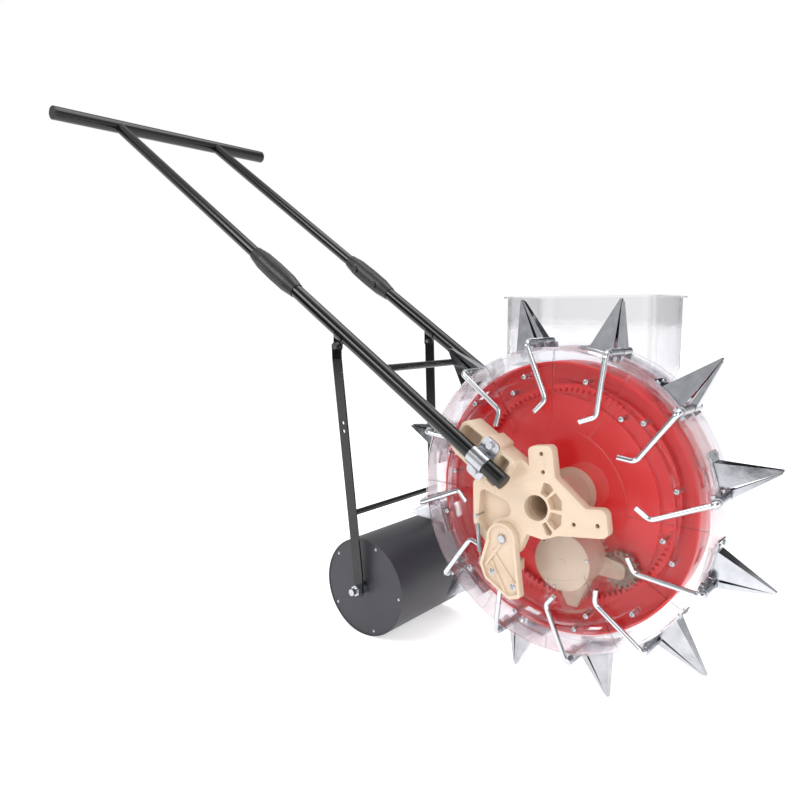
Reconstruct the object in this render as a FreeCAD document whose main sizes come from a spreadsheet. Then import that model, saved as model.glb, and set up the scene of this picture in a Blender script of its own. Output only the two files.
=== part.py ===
import FreeCAD, Part
import math
import os
import Sketcher

# Push seeder: a hand-pushed drum planter with twelve duckbill beaks round a clear drum,
# a stationary hub that carries the hopper, the metering train and the handle,
# and a press roller on two straps behind the drum.
# Every piece is drawn about the middle of the drum's axle, X forward, Y to the machine's
# left, Z up, and is then stood on the ground by its Placement.

Vector = FreeCAD.Vector
document = FreeCAD.newDocument("push_seeder")
sizes = document.addObject("Spreadsheet::Sheet", "Sizes")

DIMENSIONS = {
    # where the axle stands over the ground, and ahead of the middle of the machine
    "axle_forward": 369.42,
    "axle_height": 300.06,
    # drum
    "beak_count": 12,
    "first_beak_angle": 15,
    "rim_radius": 230,
    "drum_half_width": 54,
    "shell_wall": 3,
    "rim_chamfer": 4,
    "seam_gap": 0.3,
    "hub_hole_radius": 40,
    "far_lip_radius": 234,
    "far_lip_width": 4,
    "inner_rib_radius": 164,
    "outer_rib_radius": 185,
    "rib_wall": 2.5,
    "rib_depth": 11,
    "centre_step_radius": 118,
    "seed_mouth_back": 16,
    "seed_mouth_front": 9,
    "seed_mouth_half_width": 10,
    "screw_circle_radius": 190,
    "inner_screw_radius": 171,
    "screw_lead_angle": 1,
    "inner_screw_lag_angle": 7,
    "boss_radius": 5,
    "boss_depth": 24,
    "shell_screw_radius": 2,
    "screw_head_radius": 4.2,
    "screw_head_height": 1.4,
    "dish_radius": 208,
    "dish_wall": 3,
    "dish_front": 24,
    "dish_floor": 26,
    "bush_flange_radius": 46,
    "bush_flange_width": 2.9,
    "bush_depth": 24,
    "feed_tube_radius": 30,
    "feed_bore_radius": 18.5,
    "running_gap": 0.05,
    # beaks
    "tip_circle_radius": 310,
    "pivot_circle_radius": 239.2,
    "pivot_lead_angle": 5.45,
    "flange_thickness": 2,
    "flange_half_width": 17,
    "jaw_base_half_width": 13,
    "jaw_tip_half_width": 3.5,
    "jaw_base_back": 24,
    "jaw_base_front": 14,
    "jaw_wall": 1.6,
    "moving_tip_drop": 3,
    "knuckle_radius": 6.5,
    "knuckle_half_width": 10.6,
    "sleeve_radius": 6,
    "sleeve_near_end": 51.5,
    "sleeve_far_end": 22,
    "rod_radius": 4,
    "rod_plane": 60.3,
    # metering train
    "gear_module": 3,
    "ring_teeth": 108,
    "idler_teeth": 18,
    "metering_teeth": 27,
    "gear_front": 14,
    "gear_width": 10,
    "idler_angle": 140.2,
    "case_radius": 44,
    "roller_pocket_count": 3,
    "metering_roller_radius": 38,
    "case_front": 42,
    "case_back": 10,
    "metering_shaft_radius": 5,
    # hub plates
    "plate_back": 75,
    "plate_thickness": 17,
    "arm_tilt": 8,
    "mount_hole_radius": 3.25,
    "plate_bore_radius": 19,
    "trough_height": 37,
    "plate_floor": 4,
    # handle
    "tube_spread": 126.4,
    "lower_tube_radius": 12,
    "upper_tube_radius": 11,
    "tube_wall": 1.5,
    "handlebar_radius": 14,
    "handlebar_half_length": 272,
    "handlebar_back": 1024.9,
    "handlebar_height": 685.2,
    "tube_end_back": 36,
    "tube_end_height": 41,
    "coupling_radius": 17,
    "coupling_half_length": 64,
    "coupling_place": 570,
    "cross_bar_radius": 6,
    "cross_bar_place": 273,
    # press roller
    "strap_pivot_back": 360,
    "strap_pivot_height": 224,
    "roller_back": 347,
    "roller_radius": 89,
    "roller_near_end": 80,
    "roller_far_end": 120,
    "strap_width": 20,
    "strap_thickness": 3,
    "cross_rod_radius": 5,
    "cross_rod_drop": 294,
    "roller_axle_radius": 6,
    # hopper
    "hopper_wall": 2.5,
    "hopper_back": 156,
    "hopper_front": 101,
    "hopper_near": 66,
    "hopper_far": 214,
    "hopper_top": 306,
    "hopper_shoulder": 190,
    "hopper_lip": 6,
}

for row, (alias, number) in enumerate(DIMENSIONS.items(), start=1):
    sizes.set(f"A{row}", alias)
    sizes.set(f"B{row}", str(number))
    sizes.setAlias(f"B{row}", alias)
document.recompute()


def size(expression):
    """The value of an expression in the sheet's cells, in millimetres or degrees."""
    return float(sizes.evalExpression(expression))


def on_clock(radius, degrees, y=0.0):
    """A point at a radius and an angle clockwise from the top, seen from the near side."""
    angle = math.radians(degrees)
    return Vector(radius * math.sin(angle), y, radius * math.cos(angle))


ORIGIN = Vector(0, 0, 0)
ALONG_Y = Vector(0, 1, 0)
BEAK_COUNT = int(size("beak_count"))
BEAK_STEP = 360 / BEAK_COUNT
# beaks are numbered clockwise from the one at half past ten
BEAK_ANGLES = [size("first_beak_angle") + BEAK_STEP * (number - 2) for number in range(BEAK_COUNT)]

nodes = []


def hand_in(piece, name):
    """Stands a finished piece on the ground and lists it for writing."""
    piece.Label = name
    piece.setExpression("Placement.Base.x", "Sizes.axle_forward")
    piece.setExpression("Placement.Base.z", "Sizes.axle_height")
    nodes.append(piece)
    return piece


def solid_feature(name, shape):
    feature = document.addObject("Part::Feature", name)
    feature.Shape = shape
    return feature


def group(shapes):
    return Part.makeCompound(shapes)


def joined(shapes):
    first, *others = shapes
    return first.fuse(others).removeSplitter() if others else first


def rod(start, end, radius):
    axis = end - start
    return Part.makeCylinder(radius, axis.Length, start, axis)


def block(low, high):
    return Part.makeBox(high[0] - low[0], high[1] - low[1], high[2] - low[2], Vector(*low))


def loft_box(bottom, top):
    """A solid between two level rectangles, each (x0, x1, y0, y1, z)."""
    wires = []
    for x0, x1, y0, y1, z in (bottom, top):
        corners = [Vector(x0, y0, z), Vector(x1, y0, z), Vector(x1, y1, z), Vector(x0, y1, z)]
        wires.append(Part.makePolygon(corners + corners[:1]))
    return Part.makeLoft(wires, True, True)


def rounded_edges(corners):
    """Edges of a closed outline in the XY plane whose corners are (x, y, radius)."""
    points = [Vector(x, y, 0) for x, y, _ in corners]
    ends = []
    for index, (_, _, radius) in enumerate(corners):
        here = points[index]
        back = (points[index - 1] - here).normalize()
        ahead = (points[(index + 1) % len(points)] - here).normalize()
        if radius == 0:
            ends.append((here, None, here))
            continue
        half = back.getAngle(ahead) / 2
        reach = radius / math.tan(half)
        middle = here + (back + ahead).normalize() * (radius / math.sin(half) - radius)
        ends.append((here + back * reach, middle, here + ahead * reach))
    edges = []
    for index, (arrive, middle, leave) in enumerate(ends):
        if middle is not None:
            edges.append(Part.Arc(arrive, middle, leave))
        following = ends[(index + 1) % len(ends)][0]
        if (following - leave).Length > 1e-6:
            edges.append(Part.LineSegment(leave, following))
    return edges


def upright_prism(corners, y_from, y_to):
    """A prism whose outline is (x, z, radius) corners, between two planes across Y."""
    wire = Part.Wire([edge.toShape() for edge in rounded_edges(corners)])
    face = Part.Face(wire)
    face.rotate(ORIGIN, Vector(1, 0, 0), 90)
    face.translate(Vector(0, y_from, 0))
    return face.extrude(Vector(0, y_to - y_from, 0))


def origin_plane(body, role):
    return next(item for item in body.Origin.OriginFeatures if item.Role == role)


def start_sketch(body, name, role, offset="0"):
    sketch = body.newObject("Sketcher::SketchObject", name)
    sketch.AttachmentSupport = [(origin_plane(body, role), "")]
    sketch.MapMode = "FlatFace"
    sketch.setExpression("AttachmentOffset.Base.z", offset)
    return sketch


def bound_outline(body, name, role, corners):
    """A closed sketch whose corners are pairs of expressions on the sheet."""
    sketch = start_sketch(body, name, role)
    points = [Vector(size(across), size(up), 0) for across, up in corners]
    count = len(points)
    for index in range(count):
        sketch.addGeometry(Part.LineSegment(points[index], points[(index + 1) % count]), False)
    for index in range(count):
        sketch.addConstraint(Sketcher.Constraint("Coincident", index, 2, (index + 1) % count, 1))
    for index, (across, up) in enumerate(corners):
        for kind, value, text in (("DistanceX", points[index].x, across), ("DistanceY", points[index].y, up)):
            place = sketch.addConstraint(Sketcher.Constraint(kind, -1, 1, index, 1, value))
            sketch.setExpression(f"Constraints[{place}]", text)
    return sketch


def turned_body(name, corners):
    """A body turned about the axle from (radius, y) corners, given as expressions."""
    body = document.addObject("PartDesign::Body", name)
    sketch = bound_outline(body, name + "_section", "XY_Plane", corners)
    turned = body.newObject("PartDesign::Revolution", name + "_turned")
    turned.Profile = sketch
    turned.ReferenceAxis = (sketch, ["V_Axis"])
    turned.Angle = 360
    return body


def pad_outline(body, name, corners, back, depth):
    """Pads (x, z, radius) corners towards the near side, from the plane at y = -back."""
    sketch = start_sketch(body, name + "_outline", "XZ_Plane", back)
    for edge in rounded_edges(corners):
        sketch.addGeometry(edge, False)
    pad = body.newObject("PartDesign::Pad", name)
    pad.Profile = sketch
    pad.setExpression("Length", depth)
    document.recompute()
    return pad


def pocket_outline(body, name, corners, front, depth):
    """Cuts (x, z, radius) corners away from the near side, from the plane at y = -front."""
    before = body.Shape.Volume
    sketch = start_sketch(body, name + "_outline", "XZ_Plane", front)
    for edge in rounded_edges(corners):
        sketch.addGeometry(edge, False)
    pocket = body.newObject("PartDesign::Pocket", name)
    pocket.Profile = sketch
    pocket.setExpression("Length", depth)
    document.recompute()
    if body.Shape.Volume >= before:
        raise RuntimeError(name + " cut nothing")
    return pocket


def drill(body, name, places, radius, front, depth):
    """Round holes at (x, z) places, bored away from the near side."""
    before = body.Shape.Volume
    sketch = start_sketch(body, name + "_circles", "XZ_Plane", front)
    for index, (x, z) in enumerate(places):
        sketch.addGeometry(Part.Circle(Vector(x, z, 0), Vector(0, 0, 1), size(radius)), False)
        place = sketch.addConstraint(Sketcher.Constraint("Radius", index, size(radius)))
        sketch.setExpression(f"Constraints[{place}]", radius)
    pocket = body.newObject("PartDesign::Pocket", name)
    pocket.Profile = sketch
    pocket.setExpression("Length", depth)
    document.recompute()
    if body.Shape.Volume >= before:
        raise RuntimeError(name + " cut nothing")
    return pocket


def cylinder_object(name, radius, length, start, direction):
    cylinder = document.addObject("Part::Cylinder", name)
    cylinder.setExpression("Radius", radius)
    cylinder.setExpression("Height", length)
    cylinder.Placement = FreeCAD.Placement(start, FreeCAD.Rotation(Vector(0, 0, 1), direction))
    return cylinder


def cut_object(name, base, tool):
    cut = document.addObject("Part::Cut", name)
    cut.Base = base
    cut.Tool = tool
    return cut


def fuse_object(name, pieces):
    fuse = document.addObject("Part::MultiFuse", name)
    fuse.Shapes = pieces
    return fuse


def compound_object(name, pieces):
    compound = document.addObject("Part::Compound", name)
    compound.Links = pieces
    return compound


def pan_screw(seat, outward, shank_length, head_radius, head_height, shank_radius):
    """A pan-head screw: its head stands outward from the seat, its shank goes the other way."""
    head = Part.makeCylinder(head_radius, head_height, seat, outward)
    rim = [edge for edge in head.Edges if abs((edge.CenterOfMass - seat).dot(outward) - head_height) < 1e-6]
    head = head.makeFillet(head_height * 0.45, rim)
    shank = Part.makeCylinder(shank_radius, shank_length, seat, outward * -1)
    return head.fuse(shank)


def hex_bolt(seat, outward, shank_length, across_corners, head_height, shank_radius):
    """A hexagon bolt with the same layout as a pan screw."""
    side = outward.cross(Vector(1, 0, 0)) if abs(outward.x) < 0.9 else outward.cross(Vector(0, 0, 1))
    side.normalize()
    turn = FreeCAD.Rotation(outward, 60)
    corners = [seat + side * (across_corners / 2)]
    for _ in range(5):
        side = turn.multVec(side)
        corners.append(seat + side * (across_corners / 2))
    head = Part.Face(Part.makePolygon(corners + corners[:1])).extrude(outward * head_height)
    shank = Part.makeCylinder(shank_radius, shank_length, seat, outward * -1)
    return head.fuse(shank)


# ---- Drum ---------------------------------------------------------------------------

SEAT_Y = size("drum_half_width")
# the seed mouth of each beak, cut through every rim wall
mouth_cutters = []
for angle in BEAK_ANGLES:
    mouth = block(
        (-size("seed_mouth_back"), -size("seed_mouth_half_width"), size("dish_radius") - 10),
        (size("seed_mouth_front"), size("seed_mouth_half_width"), size("rim_radius") + 10),
    )
    mouth.rotate(ORIGIN, ALONG_Y, angle)
    mouth_cutters.append(mouth)

# screws through the near face, one beside each beak and one more inside every other one
near_screw_places = [
    on_clock(size("screw_circle_radius"), angle + size("screw_lead_angle"), -SEAT_Y) for angle in BEAK_ANGLES
]
near_screw_places += [
    on_clock(size("inner_screw_radius"), angle - size("inner_screw_lag_angle"), -SEAT_Y)
    for angle in BEAK_ANGLES[1::2]
]
far_screw_places = [Vector(place.x, SEAT_Y, place.z) for place in near_screw_places[:BEAK_COUNT]]
SCREW_HEAD = (size("screw_head_radius"), size("screw_head_height"), size("shell_screw_radius"))
screw_length = size("boss_depth") - 4
shell_screws = [pan_screw(place, Vector(0, -1, 0), screw_length, *SCREW_HEAD) for place in near_screw_places]
shell_screws += [pan_screw(place, Vector(0, 1, 0), screw_length, *SCREW_HEAD) for place in far_screw_places]

# flange screws of the beaks, two at the trailing end of each flange
flange_top = size("rim_radius + flange_thickness")
flange_screw_angle = math.degrees(math.asin(32 / flange_top))
jaw_screws = []
for angle in BEAK_ANGLES:
    for side in (-1, 1):
        outward = on_clock(1, angle - flange_screw_angle)
        seat = outward * flange_top + Vector(0, side * 11.5, 0)
        jaw_screws.append(pan_screw(seat, outward, size("flange_thickness + shell_wall"), 3.6, 1.8, 1.6))

near_moulding = turned_body(
    "near_shell_moulding",
    [
        ("Sizes.hub_hole_radius", "-Sizes.drum_half_width"),
        ("Sizes.rim_radius - Sizes.rim_chamfer", "-Sizes.drum_half_width"),
        ("Sizes.rim_radius", "-Sizes.drum_half_width + Sizes.rim_chamfer"),
        ("Sizes.rim_radius", "-Sizes.seam_gap"),
        ("Sizes.rim_radius - Sizes.shell_wall", "-Sizes.seam_gap"),
        ("Sizes.rim_radius - Sizes.shell_wall", "-Sizes.drum_half_width + Sizes.rim_chamfer + 1"),
        ("Sizes.rim_radius - Sizes.rim_chamfer - 1", "-Sizes.drum_half_width + Sizes.shell_wall"),
        ("Sizes.outer_rib_radius + Sizes.rib_wall", "-Sizes.drum_half_width + Sizes.shell_wall"),
        ("Sizes.outer_rib_radius + Sizes.rib_wall", "-Sizes.drum_half_width + Sizes.shell_wall + Sizes.rib_depth"),
        ("Sizes.outer_rib_radius", "-Sizes.drum_half_width + Sizes.shell_wall + Sizes.rib_depth"),
        ("Sizes.outer_rib_radius", "-Sizes.drum_half_width + Sizes.shell_wall"),
        ("Sizes.inner_rib_radius + Sizes.rib_wall", "-Sizes.drum_half_width + Sizes.shell_wall"),
        ("Sizes.inner_rib_radius + Sizes.rib_wall", "-Sizes.drum_half_width + Sizes.shell_wall + Sizes.rib_depth"),
        ("Sizes.inner_rib_radius", "-Sizes.drum_half_width + Sizes.shell_wall + Sizes.rib_depth"),
        ("Sizes.inner_rib_radius", "-Sizes.drum_half_width + Sizes.shell_wall"),
        ("Sizes.centre_step_radius", "-Sizes.drum_half_width + Sizes.shell_wall"),
        ("Sizes.centre_step_radius", "-Sizes.drum_half_width + Sizes.shell_wall + 2"),
        ("Sizes.hub_hole_radius", "-Sizes.drum_half_width + Sizes.shell_wall + 2"),
    ],
)
INSIDE_FACE = -SEAT_Y + size("shell_wall")
near_bosses = [
    rod(Vector(place.x, INSIDE_FACE, place.z), Vector(place.x, INSIDE_FACE + size("boss_depth") - 3, place.z),
        size("boss_radius"))
    for place in near_screw_places
]
near_ribs = []
for angle in BEAK_ANGLES:
    rib = block((-0.8, INSIDE_FACE, size("centre_step_radius") - 4), (0.8, INSIDE_FACE + 4, size("rim_radius") - 4))
    rib.rotate(ORIGIN, ALONG_Y, angle + BEAK_STEP / 2)
    near_ribs.append(rib)
near_whole = fuse_object("near_shell_whole", [
    near_moulding,
    solid_feature("near_shell_bosses", group(near_bosses)),
    solid_feature("near_shell_ribs", group(near_ribs)),
])
near_shell = cut_object("near_shell", near_whole,
                        solid_feature("near_shell_holes", group(mouth_cutters + shell_screws + jaw_screws)))
hand_in(near_shell, "near_shell")

far_moulding = turned_body(
    "far_shell_moulding",
    [
        ("Sizes.hub_hole_radius", "Sizes.drum_half_width"),
        ("Sizes.far_lip_radius", "Sizes.drum_half_width"),
        ("Sizes.far_lip_radius", "Sizes.drum_half_width - Sizes.far_lip_width"),
        ("Sizes.rim_radius", "Sizes.drum_half_width - Sizes.far_lip_width"),
        ("Sizes.rim_radius", "Sizes.seam_gap"),
        ("Sizes.rim_radius - Sizes.shell_wall", "Sizes.seam_gap"),
        ("Sizes.rim_radius - Sizes.shell_wall", "Sizes.drum_half_width - Sizes.shell_wall"),
        ("Sizes.hub_hole_radius", "Sizes.drum_half_width - Sizes.shell_wall"),
    ],
)
far_shell = cut_object("far_shell", far_moulding,
                       solid_feature("far_shell_holes", group(mouth_cutters + shell_screws + jaw_screws)))
hand_in(far_shell, "far_shell")

dish_moulding = turned_body(
    "seed_dish_moulding",
    [
        ("Sizes.hub_hole_radius", "Sizes.dish_floor"),
        ("Sizes.dish_radius - Sizes.dish_wall", "Sizes.dish_floor"),
        ("Sizes.dish_radius - Sizes.dish_wall", "-Sizes.dish_front"),
        ("Sizes.dish_radius", "-Sizes.dish_front"),
        ("Sizes.dish_radius", "Sizes.dish_floor + Sizes.dish_wall"),
        ("Sizes.hub_hole_radius", "Sizes.dish_floor + Sizes.dish_wall"),
    ],
)
dish_back = size("dish_floor + dish_wall")
dish_bosses = [
    rod(Vector(place.x, dish_back, place.z), Vector(place.x, SEAT_Y - size("shell_wall"), place.z), size("boss_radius"))
    for place in far_screw_places
]
dish_whole = fuse_object("seed_dish_whole", [dish_moulding, solid_feature("seed_dish_bosses", group(dish_bosses))])
seed_dish = cut_object("seed_dish", dish_whole,
                       solid_feature("seed_dish_mouths", group(mouth_cutters + shell_screws)))
hand_in(seed_dish, "seed_dish")

hand_in(solid_feature("shell_screws", group(shell_screws)), "shell_screws")

near_bush = turned_body(
    "near_bush",
    [
        ("Sizes.feed_tube_radius + Sizes.running_gap", "-Sizes.drum_half_width - Sizes.bush_flange_width"),
        ("Sizes.bush_flange_radius", "-Sizes.drum_half_width - Sizes.bush_flange_width"),
        ("Sizes.bush_flange_radius", "-Sizes.drum_half_width"),
        ("Sizes.hub_hole_radius", "-Sizes.drum_half_width"),
        ("Sizes.hub_hole_radius", "-Sizes.drum_half_width + 6"),
        ("Sizes.feed_tube_radius + Sizes.running_gap", "-Sizes.drum_half_width + 6"),
    ],
)
far_bush = turned_body(
    "far_bush",
    [
        ("Sizes.feed_tube_radius + Sizes.running_gap", "Sizes.drum_half_width + Sizes.bush_flange_width"),
        ("Sizes.bush_flange_radius", "Sizes.drum_half_width + Sizes.bush_flange_width"),
        ("Sizes.bush_flange_radius", "Sizes.drum_half_width"),
        ("Sizes.hub_hole_radius", "Sizes.drum_half_width"),
        ("Sizes.hub_hole_radius", "Sizes.bush_depth"),
        ("Sizes.feed_tube_radius + Sizes.running_gap", "Sizes.bush_depth"),
    ],
)
hand_in(compound_object("wheel_bushes", [near_bush, far_bush]), "wheel_bushes")


# ---- Gears --------------------------------------------------------------------------

def involute_point(base_radius, radius):
    """Angle by which an involute has turned when it reaches a radius."""
    pressure = math.acos(min(1.0, base_radius / radius))
    return math.tan(pressure) - pressure


def gear_outline(teeth, module, addendum, dedendum, thinning):
    """Corner points of a spur gear centred on the origin, its first tooth upward.

    thinning is how far each flank stands back from the nominal one, in millimetres."""
    pitch_radius = teeth * module / 2
    base_radius = pitch_radius * math.cos(math.radians(20))
    outer, root = pitch_radius + addendum, pitch_radius - dedendum
    half_tooth = math.pi / (2 * teeth) + involute_point(base_radius, pitch_radius) - thinning / pitch_radius
    flank_start = max(base_radius, root)
    radii = [flank_start + (outer - flank_start) * step / 4 for step in range(5)]
    if root < flank_start:
        radii.insert(0, root)
    flank = [(radius, half_tooth - involute_point(base_radius, max(radius, base_radius))) for radius in radii]
    points = []
    for tooth in range(teeth):
        centre = 2 * math.pi * tooth / teeth
        for radius, half in flank:
            points.append(Vector(radius * math.sin(centre - half), 0, radius * math.cos(centre - half)))
        for radius, half in reversed(flank):
            points.append(Vector(radius * math.sin(centre + half), 0, radius * math.cos(centre + half)))
    return points


def gear_solid(teeth, addendum, dedendum, thinning, turn, centre, front, width):
    points = gear_outline(teeth, size("gear_module"), addendum, dedendum, thinning)
    face = Part.Face(Part.makePolygon(points + points[:1]))
    solid = face.extrude(Vector(0, width, 0))
    solid.rotate(ORIGIN, ALONG_Y, turn)
    solid.translate(Vector(centre.x, front, centre.z))
    return solid


MODULE = size("gear_module")
GEAR_FRONT, GEAR_WIDTH = size("gear_front"), size("gear_width")
ring_teeth, idler_teeth, metering_teeth = (int(size(name)) for name in ("ring_teeth", "idler_teeth", "metering_teeth"))
idler_centre = on_clock((ring_teeth - idler_teeth) * MODULE / 2, size("idler_angle"))
# the metering shaft is one idler pitch and one metering pitch away, back towards the hub's underside
to_metering = Vector(-0.977, 0, 0.215).normalize()
metering_centre = idler_centre + to_metering * ((idler_teeth + metering_teeth) * MODULE / 2)

# ring gear: a plain ring less an outline whose tooth stands in for each space
ring_blank = Part.makeCylinder(172, size("dish_floor") - GEAR_FRONT, Vector(0, GEAR_FRONT, 0), ALONG_Y)
ring_space = gear_solid(ring_teeth, 1.25 * MODULE, 0.9 * MODULE, -0.25, size("idler_angle"), ORIGIN,
                        GEAR_FRONT - 1, size("dish_floor") - GEAR_FRONT + 2)
hand_in(solid_feature("ring_gear", ring_blank.cut(ring_space)), "ring_gear")

# idler: a tooth points along the line from the axle, into a space of the ring
idler_hub = Part.makeCylinder(12, GEAR_WIDTH + 0.6, idler_centre + Vector(0, GEAR_FRONT - 0.6, 0), ALONG_Y)
idler = gear_solid(idler_teeth, MODULE, 1.25 * MODULE, 0.2, size("idler_angle"), idler_centre,
                   GEAR_FRONT + 0.4, GEAR_WIDTH - 0.8).fuse(idler_hub)
idler = idler.cut(Part.makeCylinder(size("metering_shaft_radius + running_gap"), 40,
                                    idler_centre - Vector(0, 5, 0), ALONG_Y))
hand_in(solid_feature("idler_gear", idler), "idler_gear")

# metering gear: its teeth meet the idler's on the line of centres
line_angle = math.degrees(math.atan2(to_metering.x, to_metering.z))
idler_pitch = 360 / idler_teeth
past_tooth = (line_angle - size("idler_angle")) % idler_pitch
# past_tooth is how far the line of centres lies past an idler tooth; the other gear turns the other way
metering_turn = line_angle + 180 + past_tooth * idler_teeth / metering_teeth + 180 / metering_teeth
metering_gear = gear_solid(metering_teeth, MODULE, 1.25 * MODULE, 0.2, metering_turn, metering_centre,
                           GEAR_FRONT, GEAR_WIDTH)
metering_gear = metering_gear.cut(Part.makeCylinder(size("metering_shaft_radius"), 40,
                                                    metering_centre, ALONG_Y))
hand_in(solid_feature("metering_gear", metering_gear), "metering_gear")

# seed roller on its shaft, with pockets that lift the seed
CASE_FRONT, CASE_BACK = -size("case_front"), size("case_back")
seed_roller = Part.makeCylinder(size("metering_roller_radius"), CASE_BACK - 4 - CASE_FRONT - 0.8,
                                metering_centre + Vector(0, CASE_FRONT + 0.4, 0), ALONG_Y)
for pocket in range(int(size("roller_pocket_count"))):
    place = metering_centre + on_clock(size("metering_roller_radius"), 360 * pocket / size("roller_pocket_count"))
    seed_roller = seed_roller.cut(Part.makeSphere(9, place - Vector(0, 14, 0)))
shaft = Part.makeCylinder(size("metering_shaft_radius"), 48 + GEAR_FRONT + GEAR_WIDTH,
                          metering_centre - Vector(0, 48, 0), ALONG_Y)
hand_in(solid_feature("metering_roller", seed_roller.fuse(shaft)), "metering_roller")

# metering case: the feed tube that carries the drum, with the seed box hung under it
PLATE_BACK = size("plate_back")
tube = rod(Vector(0, -PLATE_BACK, 0), Vector(0, PLATE_BACK, 0), size("feed_tube_radius"))
case_drum = rod(metering_centre + Vector(0, CASE_FRONT, 0), metering_centre + Vector(0, CASE_BACK, 0),
                size("case_radius"))
neck = block((-14, -34, -62), (34, 4, -14))
chute = loft_box((-14, 52, -10, 8, -117), (13, 29, -7, 5, -170))
idler_arm = upright_prism(
    [(metering_centre.x, metering_centre.z + 14, 0), (idler_centre.x + 10, idler_centre.z + 12, 9),
     (idler_centre.x + 10, idler_centre.z - 12, 9), (metering_centre.x, metering_centre.z - 26, 0)],
    6, CASE_BACK)
idler_pin = rod(idler_centre + Vector(0, 6, 0), idler_centre + Vector(0, size("dish_floor") - 0.8, 0),
                size("metering_shaft_radius"))
case = joined([tube, case_drum, neck, chute, idler_arm, idler_pin])
case_room = rod(metering_centre + Vector(0, CASE_FRONT - 1, 0), metering_centre + Vector(0, CASE_BACK - 4, 0),
                size("metering_roller_radius + 0.3"))
neck_room = block((-10, -30, -64), (30, 0, -10))
chute_room = loft_box((-9, 47, -8, 6, -115), (16, 26, -5.5, 3.5, -171))
feed_bore = rod(Vector(0, -PLATE_BACK - 1, 0), Vector(0, PLATE_BACK + 1, 0), size("feed_bore_radius"))
shaft_bore = rod(metering_centre + Vector(0, -60, 0), metering_centre + Vector(0, 60, 0),
                 size("metering_shaft_radius + running_gap"))
for cutter in (case_room, neck_room, chute_room, feed_bore, shaft_bore):
    case = case.cut(cutter)

# screws of the case's cover, and the bolts that hold the hopper on the far plate
up_arm = [(17.3, 78.5), (17.3, 52.3)]
front_arm = [(91.8, -21.6), (56.8, -21.6)]
TILT = math.radians(size("arm_tilt"))


def from_arm_frame(along, up):
    """Arm frame to machine frame: the hub plate's two arms are tilted back together."""
    return (along * math.cos(TILT) - up * math.sin(TILT), along * math.sin(TILT) + up * math.cos(TILT))


mount_holes = [from_arm_frame(*place) for place in up_arm + front_arm]
PLATE_FRONT = size("plate_back + plate_thickness")
hub_screws = []
for angle in (75, 195, 315):
    seat = metering_centre + on_clock(size("case_radius - 2.9"), angle) + Vector(0, CASE_FRONT - 4, 0)
    hub_screws.append(pan_screw(seat, Vector(0, -1, 0), 12, 2.6, 1.6, 1.2))
for x, z in mount_holes:
    hub_screws.append(hex_bolt(Vector(x, PLATE_BACK, z), Vector(0, -1, 0), size("plate_thickness + hopper_wall") + 6,
                               11.5, 3.4, size("mount_hole_radius")))
case = case.cut(group(hub_screws[:3]))
hand_in(solid_feature("metering_case", case), "metering_case")

cover = rod(metering_centre + Vector(0, CASE_FRONT - 4, 0), metering_centre + Vector(0, CASE_FRONT, 0),
            size("case_radius"))
cover = cover.cut(shaft_bore).cut(group(hub_screws[:3])).cut(feed_bore).cut(tube)
hand_in(solid_feature("metering_cover", cover), "metering_cover")


# ---- Hub plates ---------------------------------------------------------------------

tube_low = Vector(-size("tube_end_back"), 0, size("tube_end_height"))
tube_high = Vector(-size("handlebar_back"), 0, size("handlebar_height"))
up_tube = (tube_high - tube_low).normalize()
across_tube = Vector(-up_tube.z, 0, up_tube.x) * -1
TUBE_OFFSET = tube_low.dot(across_tube)


def from_tube_frame(along, across):
    """Distances up the handle tube and square to it, from the axle, to the machine frame."""
    place = up_tube * along + across_tube * across
    return (place.x, place.z)


def tube_corners(corners):
    return [from_tube_frame(along, across) + (radius,) for along, across, radius in corners]


def arm_corners(corners):
    return [from_arm_frame(along, up) + (radius,) for along, up, radius in corners]


opener_pivot = (-50.0, -53.5)
clamp_bolts = [from_tube_frame(100, TUBE_OFFSET + side * 25) for side in (-1, 1)]
spring_top = (-96.8, -26.9)
spring_foot = (-86.4, -95.1)

near_plate = document.addObject("PartDesign::Body", "near_hub_plate")
pad_outline(near_plate, "arms", arm_corners([
    (-3, 90, 9), (35, 90, 9), (35.5, 44, 6), (77, 1, 6), (106, 1, 10), (106, -39, 10), (31, -39, 12),
    (6, -46, 12), (-40, -34, 0), (-44, 30, 10), (-4, 44, 8)]), "Sizes.plate_back", "Sizes.plate_thickness")
pad_outline(near_plate, "lower_panel", [
    (-30, 10, 0), (-78, 28, 0), (-108, 30, 10), (-106, -42, 12), (-70, -85, 18), (-30, -79, 20), (-10, -32, 0)],
    "Sizes.plate_back", "Sizes.plate_thickness")
pad_outline(near_plate, "tube_arm", tube_corners([
    (22, -18, 8), (158, -12, 12), (160, 42, 10), (22, 44, 12)]), "Sizes.plate_back", "Sizes.trough_height")
pad_outline(near_plate, "tube_seat", tube_corners([
    (86, TUBE_OFFSET - 34, 6), (114, TUBE_OFFSET - 34, 6), (114, TUBE_OFFSET + 34, 6), (86, TUBE_OFFSET + 34, 6)]),
    "Sizes.plate_back", "Sizes.tube_spread - Sizes.lower_tube_radius - Sizes.plate_back")
trough_depth = "Sizes.trough_height - Sizes.plate_floor"
trough_top = "Sizes.plate_back + Sizes.trough_height"
pocket_outline(near_plate, "upper_trough", tube_corners([
    (119, -8, 4), (154, -7, 8), (155, 37, 8), (119, 39, 4)]), trough_top, trough_depth)
pocket_outline(near_plate, "lower_trough", tube_corners([
    (63, -11, 4), (81, -10, 4), (81, 38, 4), (63, 38, 4)]), trough_top, trough_depth)
pocket_outline(near_plate, "hub_recess", tube_corners([
    (10, -30, 0), (58, -30, 0), (58, 60, 0), (10, 60, 0)]), trough_top,
    "Sizes.trough_height - Sizes.plate_thickness")
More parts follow.
